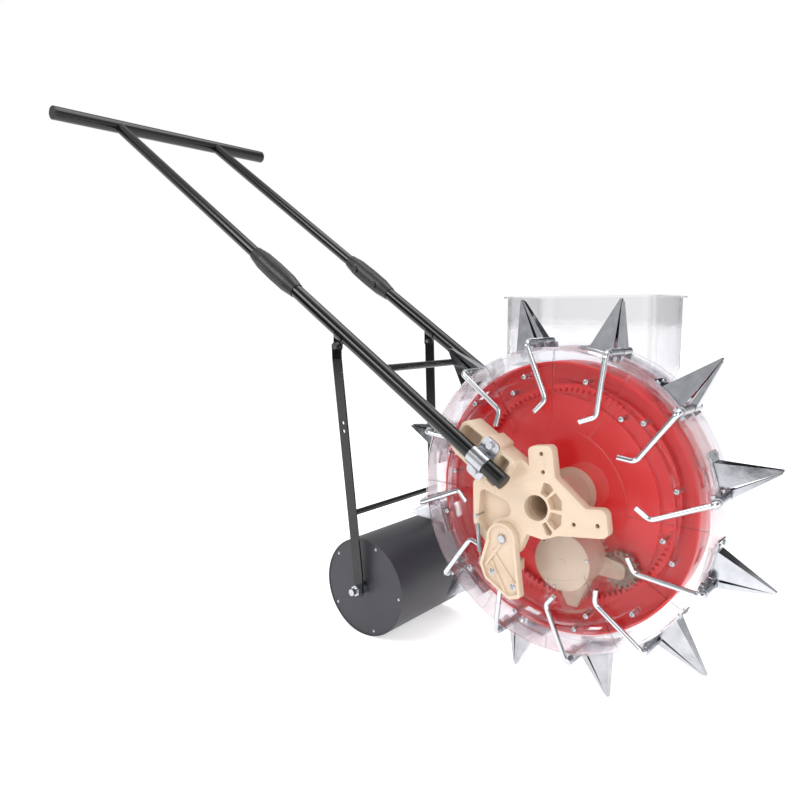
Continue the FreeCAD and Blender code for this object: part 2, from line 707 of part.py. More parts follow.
pocket_outline(near_plate, "panel_recess", [
    (-46, 2, 8), (-95, 16, 8), (-97, -36, 8), (-78, -58, 6), (-70, -30, 12), (-36, -18, 12)],
    "Sizes.plate_back + Sizes.plate_thickness", "Sizes.plate_thickness - Sizes.plate_floor")
# fan of three pockets on the front of the hub collar, with ribs between them
for index, (start, end) in enumerate(((16, 42), (48, 86), (94, 132), (138, 154))):
    fan = []
    for radius, degrees in ((24, start), (41, start), (44, (start + end) / 2), (41, end), (24, end)):
        place = on_clock(radius, degrees)
        fan.append((place.x, place.z, 1.2))
    pocket_outline(near_plate, f"fan_pocket_{index + 1}", fan, "Sizes.plate_back + Sizes.plate_thickness",
                   "Sizes.plate_thickness - Sizes.plate_floor")
drill(near_plate, "hub_bore", [(0, 0)], "Sizes.plate_bore_radius", trough_top, "Sizes.trough_height")
drill(near_plate, "mount_holes", mount_holes, "Sizes.mount_hole_radius", trough_top, "Sizes.trough_height")
drill(near_plate, "clamp_bolt_holes", clamp_bolts, "3", "Sizes.tube_spread", "Sizes.tube_spread - Sizes.plate_back")
drill(near_plate, "opener_bolt_hole", [opener_pivot], "4", trough_top, "Sizes.trough_height")
drill(near_plate, "spring_post_hole", [spring_top], "1.5", trough_top, "Sizes.trough_height")
hand_in(near_plate, "near_hub_plate")

far_plate = document.addObject("Part::Mirroring", "far_hub_plate")
far_plate.Source = near_plate
far_plate.Base = Vector(0, 0, 0)
far_plate.Normal = ALONG_Y
# the source already stands on the ground, so its mirror image does too
far_plate.Label = "far_hub_plate"
nodes.append(far_plate)


# ---- Opener -------------------------------------------------------------------------

pivot = Vector(opener_pivot[0], 0, opener_pivot[1])
opener_outline = [(-73, -53, 4), (-86, -98, 5), (-76, -120, 9), (-34, -143, 9), (-15, -136, 5), (-27, -53, 4)]
LEVER_BACK, COVER_BACK, COVER_FRONT = -92.6, -98, -105
opener_screws = [(-63.3, -106.0), (-27.5, -121.5)]
lever = joined([
    upright_prism(opener_outline, LEVER_BACK, COVER_BACK),
    rod(pivot + Vector(0, LEVER_BACK, 0), pivot + Vector(0, COVER_BACK, 0), 24),
    upright_prism([(-70, -92, 3), (-34, -91, 3), (-34, -111, 5), (-69, -106, 5)], COVER_BACK, -60),
])
cover_outer = joined([
    upright_prism(opener_outline, COVER_BACK, COVER_FRONT),
    rod(pivot + Vector(0, COVER_BACK, 0), pivot + Vector(0, COVER_FRONT, 0), 24),
])
cover_room = joined([
    upright_prism([(-69, -58, 3), (-81, -97, 4), (-74, -116, 6), (-35, -138, 6), (-20, -132, 4), (-31, -58, 3)],
                  COVER_FRONT - 1, COVER_BACK - 2.5),
    rod(pivot + Vector(0, COVER_FRONT - 1, 0), pivot + Vector(0, COVER_BACK - 2.5, 0), 20.5),
])
cover_ribs = [
    upright_prism([(-52, -60, 0), (-79, -99, 0), (-76, -101, 0), (-49, -62, 0)], COVER_BACK, COVER_FRONT + 1.5),
    upright_prism([(-66, -74, 0), (-28, -118, 0), (-26, -116, 0), (-64, -72, 0)], COVER_BACK, COVER_FRONT + 1.5),
    upright_prism([(-68, -91, 0), (-42, -138, 0), (-39, -136, 0), (-65, -89, 0)], COVER_BACK, COVER_FRONT + 1.5),
]
for x, z in opener_screws:
    cover_ribs.append(rod(Vector(x, COVER_BACK, z), Vector(x, COVER_FRONT, z), 7))
opener_cover = cover_outer.cut(cover_room).fuse([rib.common(cover_outer) for rib in cover_ribs]).removeSplitter()
opener_screw_solids = [
    pan_screw(Vector(x, COVER_FRONT, z), Vector(0, -1, 0), 11, 5, 2.2, 2) for x, z in opener_screws
]
# a longer screw near the lever's edge holds the spring's lower hook
SPRING_SEAT = -101
opener_screw_solids.append(pan_screw(Vector(spring_foot[0], SPRING_SEAT, spring_foot[1]), Vector(0, -1, 0),
                                     -SPRING_SEAT + LEVER_BACK, 3, 2, 1.5))
spring_boss = rod(Vector(spring_foot[0], LEVER_BACK, spring_foot[1]),
                  Vector(spring_foot[0], COVER_BACK, spring_foot[1]), 5)
pivot_bore = rod(pivot + Vector(0, -130, 0), pivot + Vector(0, -50, 0), 4 + size("running_gap"))
lever = joined([lever, opener_cover, spring_boss]).cut(pivot_bore).cut(group(opener_screw_solids))
hand_in(solid_feature("opener_lever", lever), "opener_lever")
hand_in(solid_feature("opener_screws", group(opener_screw_solids)), "opener_screws")

hub_screws.append(pan_screw(pivot + Vector(0, COVER_BACK - 2.9, 0), Vector(0, -1, 0), 29.4, 6.5, 4, 4))
spring_y = -99.5
hub_screws.append(pan_screw(Vector(spring_top[0], SPRING_SEAT, spring_top[1]), Vector(0, -1, 0),
                            -SPRING_SEAT - PLATE_BACK, 3, 2, 1.5))
hand_in(solid_feature("hub_screws", group(hub_screws)), "hub_screws")

# return spring: close coils between two hooks, drawn as a hollow sleeve with hooked ends
top_hook = Vector(spring_top[0], spring_y, spring_top[1] - 2.0)
foot_hook = Vector(spring_foot[0], spring_y, spring_foot[1] + 2.0)
along_spring = (foot_hook - top_hook).normalize()
coils = rod(top_hook + along_spring * 9, foot_hook - along_spring * 9, 3.6)
coils = coils.cut(rod(top_hook + along_spring * 11, foot_hook - along_spring * 11, 2.4))
spring = joined([coils, rod(top_hook + along_spring * 0.5, top_hook + along_spring * 9.5, 0.9),
                 rod(foot_hook - along_spring * 9.5, foot_hook - along_spring * 0.5, 0.9)])
hand_in(solid_feature("opener_spring", spring), "opener_spring")


# ---- Beaks --------------------------------------------------------------------------

TIP = size("tip_circle_radius")
RIM = size("rim_radius")
pivot_place = on_clock(size("pivot_circle_radius"), size("pivot_lead_angle"))
base_half, tip_half = size("jaw_base_half_width"), size("jaw_tip_half_width")
wall = size("jaw_wall")


def rim_pad(x0, x1, half_width, thickness):
    """A curved plate lying on the rim under a beak."""
    ring = Part.makeCylinder(RIM + thickness, 2 * half_width, Vector(0, -half_width, 0), ALONG_Y)
    ring = ring.cut(Part.makeCylinder(RIM, 2 * half_width, Vector(0, -half_width, 0), ALONG_Y))
    return ring.common(block((x0, -half_width, RIM / 2), (x1, half_width, RIM + 20)))


# fixed jaw: folded from sheet, with cheeks closed towards the back and open towards the front
fixed_outer = loft_box((-size("jaw_base_back"), size("jaw_base_front"), -base_half, base_half, RIM),
                       (-2.4, -0.2, -tip_half, tip_half, TIP))
fixed_inner = loft_box((-size("jaw_base_back") + wall, size("jaw_base_front") + 8, -base_half + wall,
                        base_half - wall, RIM - 0.5),
                       (-1.2, 3, -tip_half + 1.1, tip_half - 1.1, TIP + 0.5))
fixed_jaw = fixed_outer.fuse(rim_pad(-38, size("jaw_base_front") - 1, size("flange_half_width"),
                                     size("flange_thickness")))
fixed_jaw = fixed_jaw.cut(fixed_inner)
fixed_jaw = fixed_jaw.cut(Part.makeCylinder(RIM, 60, Vector(0, -30, 0), ALONG_Y))
fixed_jaws = []
for angle in BEAK_ANGLES:
    jaw = fixed_jaw.copy()
    jaw.rotate(ORIGIN, ALONG_Y, angle)
    fixed_jaws.append(jaw.cut(group(jaw_screws)))
hand_in(solid_feature("fixed_jaws", group(fixed_jaws)), "fixed_jaws")
hand_in(solid_feature("jaw_screws", group(jaw_screws)), "jaw_screws")

# sleeves that carry each opener rod, on feet that stand on the rim
sleeves = []
near_end, far_end = -size("sleeve_near_end"), size("sleeve_far_end")
inner_end = size("knuckle_half_width") + 0.4
sleeve_gap = 0.5
for y_from, y_to, feet in ((near_end, -inner_end, (near_end + 8, -inner_end - 9)),
                           (inner_end, far_end, (far_end - 4.5,))):
    barrel = rod(pivot_place + Vector(0, y_from, 0), pivot_place + Vector(0, y_to, 0), size("sleeve_radius"))
    for middle in feet:
        foot = block((pivot_place.x - 9, middle - 4.5, RIM - 3), (pivot_place.x + 9, middle + 4.5, pivot_place.z - 3))
        barrel = barrel.fuse(foot)
    barrel = barrel.cut(Part.makeCylinder(RIM, 160, Vector(0, -80, 0), ALONG_Y))
    barrel = barrel.cut(rod(pivot_place + Vector(0, -80, 0), pivot_place + Vector(0, 80, 0),
                            size("rod_radius + running_gap")))
    sleeves.append(barrel)
pivot_sleeves = []
for angle in BEAK_ANGLES:
    for sleeve in sleeves:
        turned = sleeve.copy()
        turned.rotate(ORIGIN, ALONG_Y, angle)
        pivot_sleeves.append(turned)
hand_in(solid_feature("pivot_sleeves", group(pivot_sleeves)), "pivot_sleeves")

# moving jaw: a narrower folded channel on a knuckle that is welded to the opener rod
moving_outer = loft_box((16.8, 27, -10, 10, 241), (0.7, 2.8, -3, 3, TIP - size("moving_tip_drop")))
moving_inner = loft_box((10, 25.4, -8.6, 8.6, 240.5), (-2, 1.8, -2, 2, TIP - size("moving_tip_drop") + 0.5))
half_knuckle = size("knuckle_half_width") - 0.4
knuckle = rod(pivot_place + Vector(0, -half_knuckle, 0), pivot_place + Vector(0, half_knuckle, 0),
              size("knuckle_radius"))
moving_jaw = moving_outer.cut(moving_inner).fuse(knuckle)
moving_jaw = moving_jaw.cut(rod(pivot_place + Vector(0, -30, 0), pivot_place + Vector(0, 30, 0), size("rod_radius")))

# opener rod: along the sleeve, a square elbow, an arm across the drum's face and a hooked end
bend = on_clock(154.5, 13.44, -62)
hook = on_clock(137.1, 6.77, -67.5)
elbow = pivot_place + Vector(0, -size("rod_plane"), 0)
rod_route = [pivot_place + Vector(0, size("sleeve_far_end") + 2, 0), elbow, bend, hook]
route_edges = []
leave = rod_route[0]
for before, corner, after, radius in ((rod_route[0], elbow, bend, 8), (elbow, bend, hook, 11)):
    back = (before - corner).normalize()
    ahead = (after - corner).normalize()
    half = back.getAngle(ahead) / 2
    arrive = corner + back * (radius / math.tan(half))
    middle = corner + (back + ahead).normalize() * (radius / math.sin(half) - radius)
    route_edges.append(Part.LineSegment(leave, arrive).toShape())
    leave = corner + ahead * (radius / math.tan(half))
    route_edges.append(Part.Arc(arrive, middle, leave).toShape())
route_edges.append(Part.LineSegment(leave, hook).toShape())
route = Part.Wire(route_edges)
profile = Part.Wire([Part.makeCircle(size("rod_radius"), rod_route[0], ALONG_Y)])
opener_rod = route.makePipeShell([profile], True, True)
# a pressed collar half way down the arm
arm_middle = elbow + (bend - elbow) * 0.55
arm_way = (bend - elbow).normalize()
collar = Part.makeCylinder(size("rod_radius") + 0.5, 2.2, arm_middle, arm_way)
opener_rod = opener_rod.fuse(collar)

for number, angle in enumerate(BEAK_ANGLES, start=1):
    for name, shape in ((f"moving_jaw_{number:02d}", moving_jaw), (f"opener_rod_{number:02d}", opener_rod)):
        piece = solid_feature(name, shape)
        piece.Placement = FreeCAD.Placement(ORIGIN, FreeCAD.Rotation(ALONG_Y, angle))
        hand_in(piece, name)


# ---- Handle -------------------------------------------------------------------------

SPREAD = size("tube_spread")
lower_radius, upper_radius = size("lower_tube_radius"), size("upper_tube_radius")
coupling_middle = tube_low + up_tube * size("coupling_place")
handle_bar = cylinder_object("handlebar_outside", "Sizes.handlebar_radius", "2 * Sizes.handlebar_half_length - 8",
                             tube_high - Vector(0, size("handlebar_half_length") - 4, 0), ALONG_Y)
handle_bore = cylinder_object("handlebar_inside", "Sizes.handlebar_radius - Sizes.tube_wall",
                              "2 * Sizes.handlebar_half_length",
                              tube_high - Vector(0, size("handlebar_half_length"), 0), ALONG_Y)
hand_in(cut_object("handlebar", handle_bar, handle_bore), "handlebar")

bar_cutter = Part.makeCylinder(size("handlebar_radius"), 600, tube_high - Vector(0, 300, 0), ALONG_Y)
upper_tubes, lower_tubes, tube_caps, couplings, cross_ends = [], [], [], [], []
frame_bolts, clamps, clips = [], [], []
pivot_top = Vector(-size("strap_pivot_back"), 0, size("strap_pivot_height"))
clip_place = tube_low + up_tube * ((pivot_top - tube_low).dot(up_tube))
for side in (-1, 1):
    out = Vector(0, side, 0)
    shift = out * SPREAD
    upper = rod(coupling_middle + shift, tube_high + shift, upper_radius)
    upper = upper.cut(rod(coupling_middle + shift - up_tube, tube_high + shift, upper_radius - size("tube_wall")))
    upper_tubes.append(upper.cut(bar_cutter))
    lower = rod(tube_low + shift, coupling_middle + shift - up_tube, lower_radius)
    lower = lower.cut(rod(tube_low + shift - up_tube, coupling_middle + shift, lower_radius - size("tube_wall")))
    lower_tubes.append(lower)
    # plugs in the lower end of the tube and in the end of the handlebar
    plug = rod(tube_low + shift - up_tube * 4, tube_low + shift, lower_radius)
    tube_caps.append(plug.fuse(rod(tube_low + shift, tube_low + shift + up_tube * 14, lower_radius - size("tube_wall"))))
    bar_end = tube_high + out * (size("handlebar_half_length") - 4)
    knob = Part.makeCylinder(size("handlebar_radius"), 4, bar_end, out)
    knob = knob.makeChamfer(1.5, [edge for edge in knob.Edges
                                  if abs((edge.CenterOfMass - bar_end).Length - 4) < 1e-6])
    tube_caps.append(knob.fuse(rod(bar_end - out * 14, bar_end, size("handlebar_radius - tube_wall"))))
    # split coupling that squeezes both tubes
    half_length = size("coupling_half_length")
    radius = size("coupling_radius")
    profile_points = [(lower_radius + 1.2, -half_length), (radius, -half_length + 26), (radius + 0.8, 0),
                      (radius, half_length - 26), (lower_radius + 1.2, half_length)]
    wires = [Part.Wire([Part.makeCircle(r, coupling_middle + shift + up_tube * place, up_tube)])
             for r, place in profile_points]
    coupling = Part.makeLoft(wires, True, True)
    for step in range(10):
        turn = FreeCAD.Rotation(up_tube, 36 * step + 18)
        offset = turn.multVec(across_tube) * (radius + 1.6)
        start = coupling_middle + shift + offset - up_tube * (half_length - 22)
        coupling = coupling.cut(rod(start, start + up_tube * (2 * half_length - 44), 2.2))
    coupling = coupling.cut(rod(coupling_middle + shift - up_tube * (half_length + 1),
                                coupling_middle + shift - up_tube, lower_radius))
    coupling = coupling.cut(rod(coupling_middle + shift - up_tube * 2,
                                coupling_middle + shift + up_tube * (half_length + 1), upper_radius))
    bolts_here = []
    for place in (-30, 30):
        seat = coupling_middle + shift + up_tube * place - out * (radius + 1.5)
        bolts_here.append(hex_bolt(seat, out * -1, radius * 0.25, 11, 4, 3))
        washer = rod(seat, seat + out * 5, 7)
        coupling = coupling.fuse(washer.cut(rod(coupling_middle + shift - up_tube * (half_length + 1),
                                                coupling_middle + shift + up_tube * (half_length + 1),
                                                lower_radius)))
    coupling = coupling.cut(group(bolts_here))
    couplings.append(coupling)
    frame_bolts += bolts_here
    # saddle clamp that holds the tube down on the hub plate
    clamp_middle = tube_low + up_tube * (100 - tube_low.dot(up_tube)) + shift
    face_y = side * (SPREAD - lower_radius)
    strap_half = 15
    hoop = rod(clamp_middle - up_tube * strap_half, clamp_middle + up_tube * strap_half, lower_radius + 2.2)
    ears = upright_prism(tube_corners([
        (100 - strap_half, TUBE_OFFSET - 34, 8), (100 + strap_half, TUBE_OFFSET - 34, 8),
        (100 + strap_half, TUBE_OFFSET + 34, 8), (100 - strap_half, TUBE_OFFSET + 34, 8)]),
        face_y, face_y + side * 2.6)
    outer_half = block((clamp_middle.x - 90, min(face_y, face_y + side * 60), clamp_middle.z - 90),
                       (clamp_middle.x + 90, max(face_y, face_y + side * 60), clamp_middle.z + 90))
    clamp = joined([hoop.common(outer_half), ears])
    clamp = clamp.cut(rod(clamp_middle - up_tube * 40, clamp_middle + up_tube * 40, lower_radius))
    # the band is open where the tube rests on its seat
    clamp = clamp.cut(upright_prism(tube_corners([
        (80, TUBE_OFFSET - 8, 0), (120, TUBE_OFFSET - 8, 0), (120, TUBE_OFFSET + 8, 0), (80, TUBE_OFFSET + 8, 0)]),
        face_y - side, face_y + side * 2.6))
    for x, z in clamp_bolts:
        seat = Vector(x, face_y + side * 2.6, z)
        frame_bolts.append(hex_bolt(seat, out, 28, 11.5, 5, 3))
    clamp = clamp.cut(group(frame_bolts[-2:]))
    clamps.append(clamp)
    # clip that hangs the strap's pivot bolt under the tube
    clip = rod(clip_place + shift - up_tube * 9, clip_place + shift + up_tube * 9, lower_radius + 2)
    clip_along = clip_place.dot(up_tube)
    clip = clip.cut(upright_prism(tube_corners([
        (clip_along - 20, TUBE_OFFSET + 3, 0), (clip_along + 20, TUBE_OFFSET + 3, 0),
        (clip_along + 20, TUBE_OFFSET + 30, 0), (clip_along - 20, TUBE_OFFSET + 30, 0)]),
        side * (SPREAD - 20), side * (SPREAD + 20)))
    tongue = upright_prism(
        [(pivot_top.x - 9, clip_place.z, 0), (pivot_top.x + 11, clip_place.z, 0),
         (pivot_top.x + 9, pivot_top.z - 9, 7), (pivot_top.x - 9, pivot_top.z - 9, 7)],
        side * (SPREAD - 1.6), side * (SPREAD + 1.6))
    clip = clip.fuse(tongue).cut(rod(clip_place + shift - up_tube * 40, clip_place + shift + up_tube * 40,
                                     lower_radius))
    strap_seat = Vector(pivot_top.x, side * (SPREAD + 1.9 + size("strap_thickness") + 0.3), pivot_top.z)
    frame_bolts.append(hex_bolt(strap_seat, out, size("strap_thickness") + 8, 12, 5, 3.5))
    clips.append(clip.cut(frame_bolts[-1]))

hand_in(solid_feature("upper_tubes", group(upper_tubes)), "upper_tubes")
hand_in(solid_feature("lower_tubes", group(lower_tubes)), "lower_tubes")
hand_in(solid_feature("tube_caps", group(tube_caps)), "tube_caps")
hand_in(solid_feature("tube_couplings", group(couplings)), "tube_couplings")
hand_in(solid_feature("saddle_clamps", group(clamps)), "saddle_clamps")
hand_in(solid_feature("strap_clips", group(clips)), "strap_clips")
hand_in(solid_feature("frame_bolts", group(frame_bolts)), "frame_bolts")

bar_middle = tube_low + up_tube * size("cross_bar_place")
cross_bar = rod(bar_middle - Vector(0, SPREAD, 0), bar_middle + Vector(0, SPREAD, 0), size("cross_bar_radius"))
for side in (-1, 1):
    shift = Vector(0, side * SPREAD, 0)
    cross_bar = cross_bar.cut(rod(tube_low + shift, coupling_middle + shift, lower_radius))
hand_in(solid_feature("cross_bar", cross_bar), "cross_bar")


# ---- Press roller -------------------------------------------------------------------

roller_centre = Vector(-size("roller_back"), 0, -size("axle_height") + size("roller_radius"))
strap_way = (roller_centre - pivot_top).normalize()
strap_length = (roller_centre - pivot_top).Length
NEAR_END, FAR_END = -size("roller_near_end"), size("roller_far_end")
thickness, half_strap = size("strap_thickness"), size("strap_width") / 2
straps = []
for side, foot_y in ((-1, NEAR_END - 12), (1, FAR_END + 12)):
    top_y = side * (SPREAD + 1.9)
    # the strap seen from behind: straight beside the clip, then leaning to the roller's end
    route_yz = [(top_y, 8), (top_y, -22), (foot_y, -strap_length + 30), (foot_y, -strap_length - 14)]
    inner = [Vector(0, y, z) for y, z in route_yz]
    outer = [Vector(0, y + side * thickness, z) for y, z in reversed(route_yz)]
    face = Part.Face(Part.makePolygon(inner + outer + inner[:1]))
    strap = face.extrude(Vector(2 * half_strap, 0, 0))
    strap.translate(Vector(-half_strap, 0, 0))
    # rounded ends
    for end_z, inward in ((8, -half_strap), (-strap_length - 14, half_strap)):
        corner_cut = block((-20, -200, min(end_z - 1, end_z + inward)), (20, 200, max(end_z + 1, end_z + inward)))
        round_end = Part.makeCylinder(half_strap, 400, Vector(0, -200, end_z + inward), ALONG_Y)
        strap = strap.cut(corner_cut.cut(round_end))
    for drop, radius in ((0, 3.5 + size("running_gap")), (132, 3.2), (146.5, 3.2),
                         (strap_length, size("roller_axle_radius"))):
        strap = strap.cut(Part.makeCylinder(radius, 400, Vector(0, -200, -drop), ALONG_Y))
    straps.append(strap)
strap_group = group(straps)
cross_drop = size("cross_rod_drop")
share = (cross_drop - 22) / (strap_length - 52)
near_rod_y = -(SPREAD + 1.9) + share * (NEAR_END - 12 + SPREAD + 1.9)
far_rod_y = SPREAD + 1.9 + share * (FAR_END + 12 - SPREAD - 1.9)
strap_cross_rod = Part.makeCylinder(size("cross_rod_radius"), far_rod_y - near_rod_y + 4,
                                    Vector(0, near_rod_y - 2, -cross_drop), ALONG_Y)
strap_cross_rod = strap_cross_rod.cut(strap_group)
middle_solids = sorted(strap_cross_rod.Solids, key=lambda solid: solid.Volume)
strap_cross_rod = middle_solids[-1]
strap_lean = -math.degrees(math.atan2(strap_way.x, -strap_way.z))
for name, pieces in (("roller_straps", straps), ("strap_cross_rod", [strap_cross_rod])):
    for piece in pieces:
        piece.rotate(ORIGIN, ALONG_Y, strap_lean)
        piece.translate(pivot_top)
    hand_in(solid_feature(name, group(pieces)), name)

AXLE_RADIUS = size("roller_axle_radius")
axle_near, axle_far = NEAR_END - 12 - thickness, FAR_END + 12 + thickness
roller_axle = [rod(roller_centre + Vector(0, axle_near - 18, 0), roller_centre + Vector(0, axle_far + 18, 0),
                   AXLE_RADIUS)]
for seat_y, direction in ((axle_near, -1), (axle_far, 1)):
    nut = hex_bolt(roller_centre + Vector(0, seat_y, 0), Vector(0, direction, 0), 1, 20, 8, AXLE_RADIUS)
    nut = nut.cut(rod(roller_centre + Vector(0, -200, 0), roller_centre + Vector(0, 200, 0), AXLE_RADIUS))
    roller_axle.append(nut)
for inner_y, outer_y in ((NEAR_END - 12, NEAR_END - 0.6), (FAR_END + 0.6, FAR_END + 12)):
    spacer = rod(roller_centre + Vector(0, inner_y, 0), roller_centre + Vector(0, outer_y, 0), 10)
    roller_axle.append(spacer.cut(roller_axle[0]))
hand_in(solid_feature("roller_axle", group(roller_axle)), "roller_axle")

roller_outside = cylinder_object("roller_outside", "Sizes.roller_radius", "Sizes.roller_near_end + Sizes.roller_far_end",
                                 roller_centre + Vector(0, NEAR_END, 0), ALONG_Y)
roller_inside = cylinder_object("roller_inside", "Sizes.roller_radius - 2",
                                "Sizes.roller_near_end + Sizes.roller_far_end + 4",
                                roller_centre + Vector(0, NEAR_END - 2, 0), ALONG_Y)
hand_in(cut_object("roller_shell", roller_outside, roller_inside), "roller_shell")
discs, rivets = [], []
for face_y, out in ((NEAR_END + 1, -1), (FAR_END - 1, 1)):
    start = roller_centre + Vector(0, face_y, 0)
    disc = Part.makeCylinder(size("roller_radius") - 2, 2.5, start, Vector(0, -out, 0))
    hub = Part.makeCylinder(16, 18, start, Vector(0, -out, 0))
    disc = disc.fuse(hub).cut(rod(roller_centre + Vector(0, -200, 0), roller_centre + Vector(0, 200, 0),
                                  AXLE_RADIUS + size("running_gap")))
    for step in range(5):
        seat = start + on_clock(80, 20 + 72 * step)
        rivet = pan_screw(seat, Vector(0, out, 0), 2.5, 3, 0.8, 1.8)
        rivets.append(rivet)
        disc = disc.cut(rivet)
    discs.append(disc)
hand_in(solid_feature("roller_discs", group(discs)), "roller_discs")
hand_in(solid_feature("roller_rivets", group(rivets)), "roller_rivets")


# ---- Hopper -------------------------------------------------------------------------

x0, x1 = -size("hopper_back"), size("hopper_front")
y0, y1 = size("hopper_near"), size("hopper_far")
top, shoulder, skin = size("hopper_top"), size("hopper_shoulder"), size("hopper_wall")
face_y = PLATE_FRONT


def level_prism(corners, z_from, z_to):
    wire = Part.Wire([edge.toShape() for edge in rounded_edges(corners)])
    face = Part.Face(wire)
    face.translate(Vector(0, 0, z_from))
    return face.extrude(Vector(0, 0, z_to - z_from))


def bin_corners(grow, radius):
    return [(x0 - grow, y0 - grow, radius), (x1 + grow, y0 - grow, radius),
            (x1 + grow, y1 + grow, radius), (x0 - grow, y1 + grow, radius)]


bin_outer = level_prism(bin_corners(0, 22), shoulder, top)
bin_inner = level_prism(bin_corners(-skin, 20), shoulder + skin, top + 1)
lip = level_prism(bin_corners(size("hopper_lip"), 26), top - skin, top)
funnel_outer = loft_box((-6, 42, face_y, face_y + 48, 54), (x0 + 24, x1 - 2, face_y, y1 - 4, shoulder + 0.1))
funnel_inner = loft_box((-6 + skin, 42 - skin, face_y + skin, face_y + 48 - skin, 53),
                        (x0 + 24 + skin, x1 - 2 - skin, face_y + skin, y1 - 4 - skin, shoulder + skin + 1))
spout_outer = upright_prism([(-6, 54, 0), (-24, 20, 10), (-24, -26, 14), (26, -26, 14), (42, 54, 0)],
                            face_y, face_y + 48)
spout_inner = upright_prism([(-6 + skin, 55, 0), (-24 + skin, 20, 9), (-24 + skin, -26 + skin, 12),
                             (26 - skin, -26 + skin, 12), (42 - skin, 55, 0)], face_y + skin, face_y + 48 - skin)
lug = upright_prism(arm_corners([(22, -9, 0), (104, -9, 8), (104, -36, 8), (10, -36, 0)]), face_y, face_y + skin)
throat = rod(Vector(0, face_y - 1, 0), Vector(0, face_y + skin + 1, 0), size("feed_bore_radius"))
hopper = joined([bin_outer, lip, funnel_outer, spout_outer, lug])
for room in (bin_inner, funnel_inner, spout_inner, throat):
    hopper = hopper.cut(room)
hopper = hopper.cut(group(hub_screws))
hand_in(solid_feature("hopper", hopper), "hopper")


# ---- Check and write ----------------------------------------------------------------

document.recompute()
for item in document.Objects:
    if "Invalid" in item.State or "Error" in item.State:
        raise RuntimeError(f"{item.Name} failed to recompute: {item.State}")
os.makedirs("parts", exist_ok=True)
for piece in nodes:
    shape = piece.Shape
    if shape.isNull() or not shape.isValid():
        raise RuntimeError(f"{piece.Label} has no valid shape")
    shape.exportStep(f"parts/{piece.Label}.step")
print(len(nodes), "nodes written")
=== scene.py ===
import math

import bmesh
import bpy
from mathutils import Matrix, Vector


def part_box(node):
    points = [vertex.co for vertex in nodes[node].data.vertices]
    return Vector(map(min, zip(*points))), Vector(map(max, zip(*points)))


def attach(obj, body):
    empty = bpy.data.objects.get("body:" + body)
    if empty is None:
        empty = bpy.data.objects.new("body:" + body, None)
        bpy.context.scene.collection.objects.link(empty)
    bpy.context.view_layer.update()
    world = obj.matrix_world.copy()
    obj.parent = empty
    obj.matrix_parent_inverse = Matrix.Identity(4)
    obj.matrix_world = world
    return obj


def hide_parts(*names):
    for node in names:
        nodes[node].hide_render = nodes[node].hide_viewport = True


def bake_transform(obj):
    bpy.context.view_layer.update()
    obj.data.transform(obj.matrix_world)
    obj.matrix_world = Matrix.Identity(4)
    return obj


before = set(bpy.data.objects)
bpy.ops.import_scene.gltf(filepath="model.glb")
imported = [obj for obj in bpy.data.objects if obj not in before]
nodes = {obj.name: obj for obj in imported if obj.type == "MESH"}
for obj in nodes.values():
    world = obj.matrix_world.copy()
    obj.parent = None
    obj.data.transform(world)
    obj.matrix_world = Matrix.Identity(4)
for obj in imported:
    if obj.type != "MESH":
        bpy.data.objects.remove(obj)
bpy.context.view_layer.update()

# ---- Studio ---------------------------------------------------------------
# A white sweep under soft boxes. The camera stands low on the machine's front
# right, a little over a metre from the drum.
AXLE = (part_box("wheel_bushes")[0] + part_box("wheel_bushes")[1]) / 2
AXLE.y = 0.0

camera_data = bpy.data.cameras.new("camera")
camera_data.lens = 31.77
camera_data.sensor_width = 36.0
camera = bpy.data.objects.new("camera", camera_data)
camera.location = AXLE + Vector((0.4773, -0.9821, 0.2797))
look_turn, look_down = math.radians(39.37), math.radians(7.06)
look = Vector((-math.sin(look_turn) * math.cos(look_down), math.cos(look_turn) * math.cos(look_down),
               -math.sin(look_down)))
camera.rotation_euler = look.to_track_quat("-Z", "Y").to_euler()
bpy.context.scene.collection.objects.link(camera)
bpy.context.scene.camera = camera


def linear(code):
    """An sRGB hex colour as linear red, green, blue and full alpha."""
    parts = [int(code[place:place + 2], 16) / 255 for place in (1, 3, 5)]
    return [part / 12.92 if part <= 0.04045 else ((part + 0.055) / 1.055) ** 2.4 for part in parts] + [1.0]


def add(material, kind, settings=None, links=None):
    """Adds a shader node: settings fill its fields or sockets, links feed its sockets from others' outputs."""
    node = material.node_tree.nodes.new(kind)
    for name, value in (settings or {}).items():
        if name in node.inputs:
            node.inputs[name].default_value = value
        else:
            setattr(node, name, value)
    for name, source in (links or {}).items():
        material.node_tree.links.new(source, node.inputs[name])
    return node


world = bpy.data.worlds.new("studio")
world.use_nodes = True
bpy.context.scene.world = world
world_sky = world.node_tree.nodes["Background"]
world_sky.inputs["Color"].default_value = linear("#FFFFFF")
world_sky.inputs["Strength"].default_value = 0.62
# the backdrop itself is plain white, brighter than the light that falls on the machine
backdrop = world.node_tree.nodes.new("ShaderNodeBackground")
backdrop.inputs["Color"].default_value = linear("#FFFFFF")
seen = world.node_tree.nodes.new("ShaderNodeLightPath")
choose = world.node_tree.nodes.new("ShaderNodeMixShader")
world.node_tree.links.new(seen.outputs["Is Camera Ray"], choose.inputs[0])
world.node_tree.links.new(world_sky.outputs[0], choose.inputs[1])
world.node_tree.links.new(backdrop.outputs[0], choose.inputs[2])
world.node_tree.links.new(choose.outputs[0], world.node_tree.nodes["World Output"].inputs["Surface"])
bpy.context.scene.view_settings.view_transform = "Standard"


